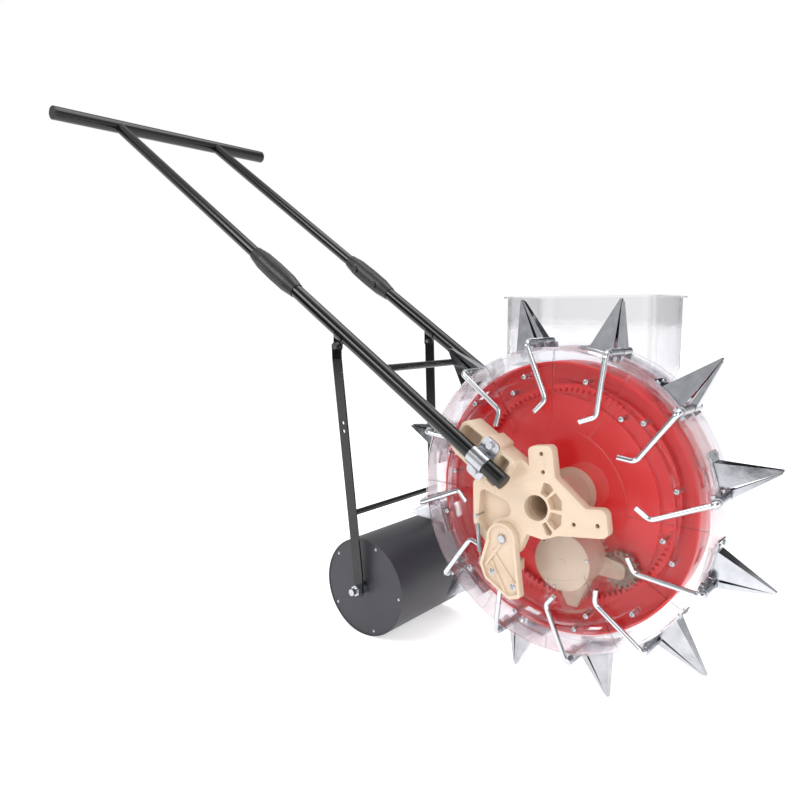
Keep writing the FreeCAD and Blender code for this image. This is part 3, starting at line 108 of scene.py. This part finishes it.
def soft_box(name, place, target, width, height, power):
    light = bpy.data.lights.new(name, "AREA")
    light.shape = "RECTANGLE"
    light.size, light.size_y = width, height
    light.energy = power
    lamp = bpy.data.objects.new(name, light)
    lamp.location = place
    lamp.rotation_euler = (Vector(target) - Vector(place)).to_track_quat("-Z", "Y").to_euler()
    bpy.context.scene.collection.objects.link(lamp)


soft_box("key_light", (-0.9, -2.2, 2.3), (0.1, 0, 0.4), 1.6, 1.2, 38)
soft_box("front_light", (2.3, -1.5, 1.5), (0.3, 0, 0.3), 1.0, 1.6, 20)
soft_box("top_light", (0.2, 0.6, 2.6), (0.1, 0, 0.3), 2.0, 1.4, 24)

floor_mesh = bpy.data.meshes.new("floor")
floor_mesh.from_pydata([(-30, -30, 0), (30, -30, 0), (30, 30, 0), (-30, 30, 0)], [], [(0, 1, 2, 3)])
floor = bpy.data.objects.new("floor", floor_mesh)
bpy.context.scene.collection.objects.link(floor)
floor_paint = bpy.data.materials.new("white_sweep")
floor_paint.use_nodes = True
floor_paint.node_tree.nodes["Principled BSDF"].inputs["Base Color"].default_value = linear("#FAFAFA")
floor_paint.node_tree.nodes["Principled BSDF"].inputs["Emission Color"].default_value = linear("#FFFFFF")
floor_paint.node_tree.nodes["Principled BSDF"].inputs["Emission Strength"].default_value = 0.5
floor_paint.node_tree.nodes["Principled BSDF"].inputs["Roughness"].default_value = 0.9
floor_mesh.materials.append(floor_paint)

# black cards out of shot, seen only in the bright metal
card_paint = bpy.data.materials.new("black_card")
card_paint.use_nodes = True
card_paint.node_tree.nodes["Principled BSDF"].inputs["Base Color"].default_value = linear("#050505")
card_paint.node_tree.nodes["Principled BSDF"].inputs["Roughness"].default_value = 1.0
for number, (place, width, height) in enumerate([
        ((2.2, -0.2, 0.7), 0.8, 1.8), ((0.9, -2.4, 0.5), 0.7, 1.8), ((-1.6, -1.6, 0.6), 0.9, 1.8),
        ((0.2, -1.3, 2.1), 1.5, 0.7), ((0.5, 1.9, 0.9), 1.0, 1.8)], start=1):
    card_mesh = bpy.data.meshes.new(f"card_{number}")
    half_w, half_h = width / 2, height / 2
    card_mesh.from_pydata([(-half_w, -half_h, 0), (half_w, -half_h, 0), (half_w, half_h, 0), (-half_w, half_h, 0)],
                          [], [(0, 1, 2, 3)])
    card_mesh.materials.append(card_paint)
    card = bpy.data.objects.new(f"card_{number}", card_mesh)
    card.location = place
    card.rotation_euler = (AXLE - Vector(place)).to_track_quat("Z", "Y").to_euler()
    card.visible_camera = card.visible_shadow = card.visible_diffuse = False
    bpy.context.scene.collection.objects.link(card)


# ---- Clear drum and hopper ------------------------------------------------
# Two moulded halves of clear polystyrene make the drum, screwed together through
# the dish inside; the hopper is blown from the same plastic. It shows as bright
# edges and rims over what is behind it.
def new_material(name):
    material = bpy.data.materials.new(name)
    material.use_nodes = True
    return material, material.node_tree.nodes["Principled BSDF"]


def coordinates(material, scale=(1, 1, 1)):
    place = add(material, "ShaderNodeTexCoord")
    return add(material, "ShaderNodeMapping", {"Scale": scale}, {"Vector": place.outputs["Object"]}).outputs["Vector"]


def bumped(material, surface, height, strength, distance):
    bump = add(material, "ShaderNodeBump", {"Strength": strength, "Distance": distance}, {"Height": height})
    material.node_tree.links.new(bump.outputs["Normal"], surface.inputs["Normal"])


clear, surface = new_material("clear_polystyrene")
surface.inputs["Base Color"].default_value = linear("#E9E7F4")
surface.inputs["IOR"].default_value = 1.42
surface.inputs["Transmission Weight"].default_value = 1.0
surface.inputs["Roughness"].default_value = 0.03
surface.inputs["Coat Weight"].default_value = 0.6
# flow lines of the moulding, about 30 mm apart
flow = add(clear, "ShaderNodeTexNoise", {"Scale": 30.0, "Detail": 2.0}, {"Vector": coordinates(clear)})
bumped(clear, surface, flow.outputs["Fac"], 0.25, 0.002)
edge_on = add(clear, "ShaderNodeLayerWeight", {"Blend": 0.35})
cover = add(clear, "ShaderNodeMapRange", {"To Min": 0.09, "To Max": 0.95}, {"Value": edge_on.outputs["Facing"]})
clear.node_tree.links.new(cover.outputs["Result"], surface.inputs["Alpha"])


def finish_node(name, material):
    data = nodes[name].data
    data.materials.clear()
    data.materials.append(material)


for name in ("near_shell", "far_shell", "hopper"):
    finish_node(name, clear)

# ---- Seed dish ------------------------------------------------------------
# A shallow dish of red ABS inside the drum, moulded with its ring gear. The gloss
# is that of a polished mould, with slight sink marks.
red, surface = new_material("red_abs")
surface.inputs["Roughness"].default_value = 0.3
surface.inputs["IOR"].default_value = 1.53
tone = add(red, "ShaderNodeTexNoise", {"Scale": 9.0, "Detail": 3.0}, {"Vector": coordinates(red)})
mix = add(red, "ShaderNodeMix", {"data_type": "RGBA"}, {"Factor": tone.outputs["Fac"]})
mix.inputs[6].default_value = linear("#D21217")
mix.inputs[7].default_value = linear("#EA2224")
red.node_tree.links.new(mix.outputs[2], surface.inputs["Base Color"])
bumped(red, surface, tone.outputs["Fac"], 0.2, 0.002)
for name in ("seed_dish", "ring_gear"):
    finish_node(name, red)

# ---- Hub castings and seed gear -------------------------------------------
# Uncoloured nylon, injection moulded: cream, waxy, with a faint cloudiness.
cream, surface = new_material("natural_nylon")
surface.inputs["Roughness"].default_value = 0.42
surface.inputs["IOR"].default_value = 1.53
surface.inputs["Subsurface Weight"].default_value = 0.1
surface.inputs["Subsurface Radius"].default_value = (0.006, 0.004, 0.002)
tone = add(cream, "ShaderNodeTexNoise", {"Scale": 14.0, "Detail": 4.0}, {"Vector": coordinates(cream)})
mix = add(cream, "ShaderNodeMix", {"data_type": "RGBA"}, {"Factor": tone.outputs["Fac"]})
mix.inputs[6].default_value = linear("#CBB59D")
mix.inputs[7].default_value = linear("#DCC8B2")
cream.node_tree.links.new(mix.outputs[2], surface.inputs["Base Color"])
grain = add(cream, "ShaderNodeTexNoise", {"Scale": 900.0, "Detail": 1.0}, {"Vector": coordinates(cream)})
bumped(cream, surface, grain.outputs["Fac"], 0.12, 0.0003)
for name in ("near_hub_plate", "far_hub_plate", "metering_case", "metering_cover", "metering_roller",
             "metering_gear", "opener_lever", "wheel_bushes"):
    finish_node(name, cream)


def link_piece(name, mesh, material):
    mesh.materials.clear()
    mesh.materials.append(material)
    piece = bpy.data.objects.new(name, mesh)
    bpy.context.scene.collection.objects.link(piece)
    return piece


def smooth_copy(node, name, body, material, radius):
    """A smooth-shaded copy of a moulded part. Its shortest edges hold the bevel to almost nothing."""
    shape = bmesh.new()
    shape.from_mesh(nodes[node].data)
    bmesh.ops.remove_doubles(shape, verts=shape.verts, dist=1e-6)
    bmesh.ops.dissolve_limit(shape, angle_limit=math.radians(2), verts=shape.verts, edges=shape.edges)
    mesh = bpy.data.meshes.new(name)
    shape.to_mesh(mesh)
    shape.free()
    piece = link_piece(name, mesh, material)
    bevel = piece.modifiers.new("mould_rounding", "BEVEL")
    bevel.width, bevel.segments, bevel.limit_method = radius, 2, "ANGLE"
    bevel.angle_limit, bevel.use_clamp_overlap = math.radians(38), True
    solid = bpy.data.meshes.new_from_object(piece.evaluated_get(bpy.context.evaluated_depsgraph_get()))
    piece.modifiers.clear()
    piece.data = solid
    solid.shade_smooth()
    solid.set_sharp_from_angle(angle=math.radians(32))
    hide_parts(node)
    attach(piece, body)
    return piece


smooth_copy("near_hub_plate", "near_hub_moulding", "frame", cream, 0.0008)
smooth_copy("far_hub_plate", "far_hub_moulding", "frame", cream, 0.0008)
smooth_copy("opener_lever", "opener_moulding", "opener", cream, 0.0006)

grey_gear, surface = new_material("filled_nylon")
surface.inputs["Roughness"].default_value = 0.5
surface.inputs["Base Color"].default_value = linear("#8A8070")
grain = add(grey_gear, "ShaderNodeTexNoise", {"Scale": 500.0}, {"Vector": coordinates(grey_gear)})
bumped(grey_gear, surface, grain.outputs["Fac"], 0.2, 0.0003)
finish_node("idler_gear", grey_gear)

# ---- Beaks ----------------------------------------------------------------
# Each beak is two jaws folded from 1.6 mm sheet, bright zinc plated.
plate, surface = new_material("zinc_plated_sheet")
surface.inputs["Metallic"].default_value = 1.0
streaks = add(plate, "ShaderNodeTexNoise", {"Scale": 60.0, "Detail": 4.0}, {"Vector": coordinates(plate)})
mix = add(plate, "ShaderNodeMix", {"data_type": "RGBA"}, {"Factor": streaks.outputs["Fac"]})
mix.inputs[6].default_value = linear("#9C9FA6")
mix.inputs[7].default_value = linear("#D6D8DC")
plate.node_tree.links.new(mix.outputs[2], surface.inputs["Base Color"])
shine = add(plate, "ShaderNodeMapRange", {"To Min": 0.07, "To Max": 0.2}, {"Value": streaks.outputs["Fac"]})
plate.node_tree.links.new(shine.outputs["Result"], surface.inputs["Roughness"])
bumped(plate, surface, streaks.outputs["Fac"], 0.15, 0.0006)
finish_node("fixed_jaws", plate)

rod_plate, surface = new_material("bright_plated_rod")
surface.inputs["Metallic"].default_value = 1.0
surface.inputs["Base Color"].default_value = linear("#D2D4D8")
draw_lines = add(rod_plate, "ShaderNodeTexNoise", {"Scale": 220.0, "Detail": 2.0}, {"Vector": coordinates(rod_plate)})
shine = add(rod_plate, "ShaderNodeMapRange", {"To Min": 0.06, "To Max": 0.2}, {"Value": draw_lines.outputs["Fac"]})
rod_plate.node_tree.links.new(shine.outputs["Result"], surface.inputs["Roughness"])
for number in range(1, 13):
    finish_node(f"moving_jaw_{number:02d}", plate)
    finish_node(f"opener_rod_{number:02d}", rod_plate)

# ---- Fixings --------------------------------------------------------------
# Zinc-plated steel screws, bolts, sleeves and clamps.
zinc, surface = new_material("zinc_plated_steel")
surface.inputs["Metallic"].default_value = 1.0
stain = add(zinc, "ShaderNodeTexNoise", {"Scale": 150.0, "Detail": 3.0}, {"Vector": coordinates(zinc)})
mix = add(zinc, "ShaderNodeMix", {"data_type": "RGBA"}, {"Factor": stain.outputs["Fac"]})
mix.inputs[6].default_value = linear("#9EA0A6")
mix.inputs[7].default_value = linear("#CDCFD2")
zinc.node_tree.links.new(mix.outputs[2], surface.inputs["Base Color"])
surface.inputs["Roughness"].default_value = 0.24
for name in ("hub_screws", "shell_screws", "jaw_screws", "pivot_sleeves", "opener_screws", "opener_spring",
             "saddle_clamps", "roller_rivets", "roller_axle", "frame_bolts"):
    finish_node(name, zinc)

# ---- Drum and opener screws -----------------------------------------------
# Cross-recess pan-head screws of zinc-plated steel. They hold the halves of the
# drum to the dish, clamp the opener's cover and hold the spring's lower hook.
PAN_HEAD_HEIGHT, HOOK_HEAD_HEIGHT = 0.0022, 0.0015


def loose_boxes(node):
    """Lowest and highest corner of each separate solid in a CAD node."""
    shape = bmesh.new()
    shape.from_mesh(nodes[node].data)
    bmesh.ops.remove_doubles(shape, verts=shape.verts, dist=1e-6)
    left, boxes = set(shape.verts), []
    while left:
        reached, todo = set(), [left.pop()]
        while todo:
            vert = todo.pop()
            reached.add(vert)
            for edge in vert.link_edges:
                other = edge.other_vert(vert)
                if other in left:
                    left.discard(other)
                    todo.append(other)
        places = [vert.co for vert in reached]
        boxes.append((Vector(min(p[i] for p in places) for i in range(3)),
                      Vector(max(p[i] for p in places) for i in range(3))))
    shape.free()
    return sorted(boxes, key=lambda box: tuple(round(value, 4) for value in box[0]))


def tree_inputs(tree, sizes):
    tree.interface.new_socket("Geometry", in_out="INPUT", socket_type="NodeSocketGeometry")
    for name, value in sizes.items():
        tree.interface.new_socket(name, in_out="INPUT", socket_type="NodeSocketFloat").default_value = value
    tree.interface.new_socket("Finish", in_out="INPUT", socket_type="NodeSocketMaterial")
    tree.interface.new_socket("Geometry", in_out="OUTPUT", socket_type="NodeSocketGeometry")
    return tree.nodes.new("NodeGroupInput"), tree.nodes.new("NodeGroupOutput")


def grow(tree, kind, settings=None, links=None):
    """Adds a geometry node, its fields or sockets filled from settings and its sockets fed by links."""
    node = tree.nodes.new(kind)
    for name, value in (settings or {}).items():
        if isinstance(name, int) or name in node.inputs:
            node.inputs[name].default_value = value
        else:
            setattr(node, name, value)
    for name, source in (links or {}).items():
        tree.links.new(source, node.inputs[name])
    return node


def grown_piece(name, tree, places, sizes, material):
    """Runs a tree on a cloud of points and keeps the result as a plain mesh."""
    cloud = bpy.data.meshes.new(name + "_places")
    cloud.from_pydata([tuple(place) for place in places], [], [])
    piece = link_piece(name, cloud, material)
    maker = piece.modifiers.new("maker", "NODES")
    maker.node_group = tree
    for item in tree.interface.items_tree:
        if item.in_out == "INPUT" and item.name in sizes:
            maker[item.identifier] = sizes[item.name]
        if item.in_out == "INPUT" and item.name == "Finish":
            maker[item.identifier] = material
    solid = bpy.data.meshes.new_from_object(piece.evaluated_get(bpy.context.evaluated_depsgraph_get()))
    piece.modifiers.clear()
    piece.data = solid
    solid.shade_smooth()
    solid.set_sharp_from_angle(angle=math.radians(38))
    return piece


screw_tree = bpy.data.node_groups.new("cross_recess_screws", "GeometryNodeTree")
given, made = tree_inputs(screw_tree, {"Head Radius": 0.0045, "Head Height": 0.002, "Shank Radius": 0.002,
                                       "Shank Length": 0.015, "Facing": -1.0})
dome_size = grow(screw_tree, "ShaderNodeCombineXYZ", links={
    "X": given.outputs["Head Radius"], "Y": given.outputs["Head Height"], "Z": given.outputs["Head Radius"]})
ball = grow(screw_tree, "GeometryNodeMeshUVSphere", {"Segments": 20, "Rings": 12, "Radius": 1.0})
dome = grow(screw_tree, "GeometryNodeTransform", links={
    "Geometry": ball.outputs["Mesh"], "Scale": dome_size.outputs["Vector"]})
# the cross is 1.3 radii long and about a quarter of a radius wide, cut half way into the head
slot_long = grow(screw_tree, "ShaderNodeMath", {"operation": "MULTIPLY", 1: 1.3},
                 {0: given.outputs["Head Radius"]})
slot_wide = grow(screw_tree, "ShaderNodeMath", {"operation": "MULTIPLY", 1: 0.26},
                 {0: given.outputs["Head Radius"]})
slot_size = grow(screw_tree, "ShaderNodeCombineXYZ", links={
    "X": slot_long.outputs[0], "Y": given.outputs["Head Height"], "Z": slot_wide.outputs[0]})
slot = grow(screw_tree, "GeometryNodeMeshCube", links={"Size": slot_size.outputs["Vector"]})
turned_slot = grow(screw_tree, "GeometryNodeTransform", {"Rotation": (0, math.pi / 2, 0)},
                   {"Geometry": slot.outputs["Mesh"]})
slots = grow(screw_tree, "GeometryNodeMeshBoolean", {"operation": "UNION"})
screw_tree.links.new(slot.outputs["Mesh"], slots.inputs["Mesh 2"])
screw_tree.links.new(turned_slot.outputs["Geometry"], slots.inputs["Mesh 2"])
slot_shift = grow(screw_tree, "ShaderNodeCombineXYZ", links={"Y": given.outputs["Head Height"]})
raised_slots = grow(screw_tree, "GeometryNodeTransform", links={
    "Geometry": slots.outputs["Mesh"], "Translation": slot_shift.outputs["Vector"]})
head = grow(screw_tree, "GeometryNodeMeshBoolean", {"operation": "DIFFERENCE"}, {
    "Mesh 1": dome.outputs["Geometry"], "Mesh 2": raised_slots.outputs["Geometry"]})
shank = grow(screw_tree, "GeometryNodeMeshCylinder", {"Vertices": 16}, {
    "Radius": given.outputs["Shank Radius"], "Depth": given.outputs["Shank Length"]})
half_shank = grow(screw_tree, "ShaderNodeMath", {"operation": "MULTIPLY", 1: -0.5},
                  {0: given.outputs["Shank Length"]})
shank_shift = grow(screw_tree, "ShaderNodeCombineXYZ", links={"Y": half_shank.outputs[0]})
laid_shank = grow(screw_tree, "GeometryNodeTransform", {"Rotation": (math.pi / 2, 0, 0)}, {
    "Geometry": shank.outputs["Mesh"], "Translation": shank_shift.outputs["Vector"]})
whole = grow(screw_tree, "GeometryNodeJoinGeometry")
for part in (head.outputs["Mesh"], laid_shank.outputs["Geometry"]):
    screw_tree.links.new(part, whole.inputs["Geometry"])
# half a turn about the upright axis faces a screw the other way
facing = grow(screw_tree, "ShaderNodeMath", {"operation": "LESS_THAN", 1: 0.0}, {0: given.outputs["Facing"]})
half_turn = grow(screw_tree, "ShaderNodeMath", {"operation": "MULTIPLY", 1: math.pi}, {0: facing.outputs[0]})
driven = grow(screw_tree, "FunctionNodeRandomValue", {"data_type": "FLOAT", "Seed": 5})
driven.inputs[2].default_value, driven.inputs[3].default_value = 0.0, math.pi
turn = grow(screw_tree, "ShaderNodeCombineXYZ", links={"Y": driven.outputs[1], "Z": half_turn.outputs[0]})
spread = grow(screw_tree, "GeometryNodeInstanceOnPoints", links={
    "Points": given.outputs["Geometry"], "Instance": whole.outputs["Geometry"],
    "Rotation": turn.outputs["Vector"]})
real = grow(screw_tree, "GeometryNodeRealizeInstances", links={"Geometry": spread.outputs["Instances"]})
coated = grow(screw_tree, "GeometryNodeSetMaterial", links={
    "Geometry": real.outputs["Geometry"], "Material": given.outputs["Finish"]})
screw_tree.links.new(coated.outputs["Geometry"], made.inputs["Geometry"])


def fitted_screws(name, boxes, facing, head_height, body):
    """Screws in place of CAD ones that lie along the axle, their heads towards facing."""
    radius = (boxes[0][1].x - boxes[0][0].x) / 2
    length = boxes[0][1].y - boxes[0][0].y - head_height
    seats = [Vector(((low.x + high.x) / 2, high.y - head_height if facing > 0 else low.y + head_height,
                     (low.z + high.z) / 2)) for low, high in boxes]
    piece = grown_piece(name, screw_tree, seats, {
        "Head Radius": radius, "Head Height": head_height, "Shank Radius": radius * 0.45,
        "Shank Length": length, "Facing": float(facing)}, zinc)
    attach(piece, body)
    return piece


drum_boxes = loose_boxes("shell_screws")
near_screws = fitted_screws("drum_screws_near", [box for box in drum_boxes if box[0].y < 0], -1, PAN_HEAD_HEIGHT,
                            "wheel")
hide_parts("shell_screws")
fitted_screws("drum_screws_far", [box for box in drum_boxes if box[0].y > 0], 1, PAN_HEAD_HEIGHT,
              "wheel")
lever_boxes = loose_boxes("opener_screws")
widest = max(high.x - low.x for low, high in lever_boxes)
cover_screws = fitted_screws("opener_cover_screws",
                             [box for box in lever_boxes if box[1].x - box[0].x > widest * 0.9],
                             -1, PAN_HEAD_HEIGHT, "opener")
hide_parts("opener_screws")
hook_screws = [box for box in lever_boxes if box[1].x - box[0].x <= widest * 0.9]
if hook_screws:
    fitted_screws("spring_hook_screw", hook_screws, -1, HOOK_HEAD_HEIGHT, "opener")

# ---- Opener spring --------------------------------------------------------
# A close-wound extension spring of plated wire. It hooks over a screw in the hub
# plate and another in the lever, and pulls the lever back.
spring_low, spring_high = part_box("opener_spring")
COIL_RADIUS, WIRE_RADIUS, TURNS, HOOK_LENGTH = 0.0031, 0.00055, 34.0, 0.010
spring_y = (spring_low.y + spring_high.y) / 2
hook_top = Vector((spring_low.x + 0.0036, spring_y, spring_high.z))
hook_foot = Vector((spring_high.x - 0.0036, spring_y, spring_low.z))
pull = (hook_foot - hook_top).normalized()
coil_length = (hook_foot - hook_top).length - 2 * HOOK_LENGTH
spring_tree = bpy.data.node_groups.new("extension_spring", "GeometryNodeTree")
given, made = tree_inputs(spring_tree, {"Coil Radius": COIL_RADIUS, "Wire Radius": WIRE_RADIUS,
                                        "Turns": TURNS, "Length": coil_length})
coil = grow(spring_tree, "GeometryNodeCurveSpiral", {"Resolution": 14}, {
    "Rotations": given.outputs["Turns"], "Start Radius": given.outputs["Coil Radius"],
    "End Radius": given.outputs["Coil Radius"], "Height": given.outputs["Length"]})
wire_round = grow(spring_tree, "GeometryNodeCurvePrimitiveCircle", {"Resolution": 7}, {
    "Radius": given.outputs["Wire Radius"]})
wire = grow(spring_tree, "GeometryNodeCurveToMesh", {"Fill Caps": True}, {
    "Curve": coil.outputs["Curve"], "Profile Curve": wire_round.outputs["Curve"]})
spread = grow(spring_tree, "GeometryNodeInstanceOnPoints", links={
    "Points": given.outputs["Geometry"], "Instance": wire.outputs["Mesh"]})
real = grow(spring_tree, "GeometryNodeRealizeInstances", links={"Geometry": spread.outputs["Instances"]})
coated = grow(spring_tree, "GeometryNodeSetMaterial", links={
    "Geometry": real.outputs["Geometry"], "Material": given.outputs["Finish"]})
spring_tree.links.new(coated.outputs["Geometry"], made.inputs["Geometry"])
spring = grown_piece("return_spring", spring_tree, [(0, 0, 0)], {
    "Coil Radius": COIL_RADIUS, "Wire Radius": WIRE_RADIUS, "Turns": TURNS, "Length": coil_length}, zinc)
lean = Vector((0, 0, 1)).rotation_difference(pull).to_matrix().to_4x4()
spring.data.transform(Matrix.Translation(hook_top + pull * HOOK_LENGTH) @ lean)
hooks = bmesh.new()
hooks.from_mesh(spring.data)
for start, end in ((hook_top, hook_top + pull * 0.0105), (hook_foot - pull * 0.0105, hook_foot)):
    straight = bmesh.ops.create_cone(hooks, cap_ends=True, segments=10, radius1=WIRE_RADIUS * 1.3,
                                     radius2=WIRE_RADIUS * 1.3, depth=(end - start).length)
    bmesh.ops.transform(hooks, matrix=Matrix.Translation((start + end) / 2) @ lean, verts=straight["verts"])
hooks.to_mesh(spring.data)
hooks.free()
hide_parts("opener_spring")
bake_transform(spring)

# ---- Handle, straps and roller --------------------------------------------
# Steel tube and strip, powder coated black; the roller is coated dark grey.
black, surface = new_material("black_powder_coat")
surface.inputs["Base Color"].default_value = linear("#070708")
surface.inputs["Roughness"].default_value = 0.19
peel = add(black, "ShaderNodeTexNoise", {"Scale": 400.0, "Detail": 2.0}, {"Vector": coordinates(black)})
bumped(black, surface, peel.outputs["Fac"], 0.04, 0.0002)
for name in ("handlebar", "upper_tubes", "lower_tubes", "cross_bar", "strap_clips", "roller_straps",
             "strap_cross_rod"):
    finish_node(name, black)

grey, surface = new_material("grey_powder_coat")
surface.inputs["Roughness"].default_value = 0.42
peel = add(grey, "ShaderNodeTexNoise", {"Scale": 350.0, "Detail": 2.0}, {"Vector": coordinates(grey)})
mix = add(grey, "ShaderNodeMix", {"data_type": "RGBA"}, {"Factor": peel.outputs["Fac"]})
mix.inputs[6].default_value = linear("#2C2B32")
mix.inputs[7].default_value = linear("#38373F")
grey.node_tree.links.new(mix.outputs[2], surface.inputs["Base Color"])
bumped(grey, surface, peel.outputs["Fac"], 0.15, 0.0004)
for name in ("roller_shell", "roller_discs"):
    finish_node(name, grey)

# ---- Roller rivets --------------------------------------------------------
# Domed steel rivets that hold the roller's end discs to its shell, set by
# squeezing from outside.
rivet_tree = bpy.data.node_groups.new("domed_rivets", "GeometryNodeTree")
given, made = tree_inputs(rivet_tree, {"Head Radius": 0.003, "Head Height": 0.0018})
dome_size = grow(rivet_tree, "ShaderNodeCombineXYZ", links={
    "X": given.outputs["Head Radius"], "Y": given.outputs["Head Height"], "Z": given.outputs["Head Radius"]})
ball = grow(rivet_tree, "GeometryNodeMeshUVSphere", {"Segments": 18, "Rings": 10, "Radius": 1.0})
spread = grow(rivet_tree, "GeometryNodeInstanceOnPoints", links={
    "Points": given.outputs["Geometry"], "Instance": ball.outputs["Mesh"], "Scale": dome_size.outputs["Vector"]})
real = grow(rivet_tree, "GeometryNodeRealizeInstances", links={"Geometry": spread.outputs["Instances"]})
coated = grow(rivet_tree, "GeometryNodeSetMaterial", links={
    "Geometry": real.outputs["Geometry"], "Material": given.outputs["Finish"]})
rivet_tree.links.new(coated.outputs["Geometry"], made.inputs["Geometry"])
rivet_boxes = loose_boxes("roller_rivets")
low, high = rivet_boxes[0]
rivets = grown_piece("disc_rivets", rivet_tree, [(low + high) / 2 for low, high in rivet_boxes], {
    "Head Radius": (high.x - low.x) / 2, "Head Height": (high.y - low.y) / 2}, zinc)
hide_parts("roller_rivets")
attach(rivets, "press_roller")

moulding, surface = new_material("black_nylon")
surface.inputs["Base Color"].default_value = linear("#1A1A1C")
surface.inputs["Roughness"].default_value = 0.4
grain = add(moulding, "ShaderNodeTexNoise", {"Scale": 700.0}, {"Vector": coordinates(moulding)})
bumped(moulding, surface, grain.outputs["Fac"], 0.2, 0.0003)
for name in ("tube_couplings", "tube_caps"):
    finish_node(name, moulding)
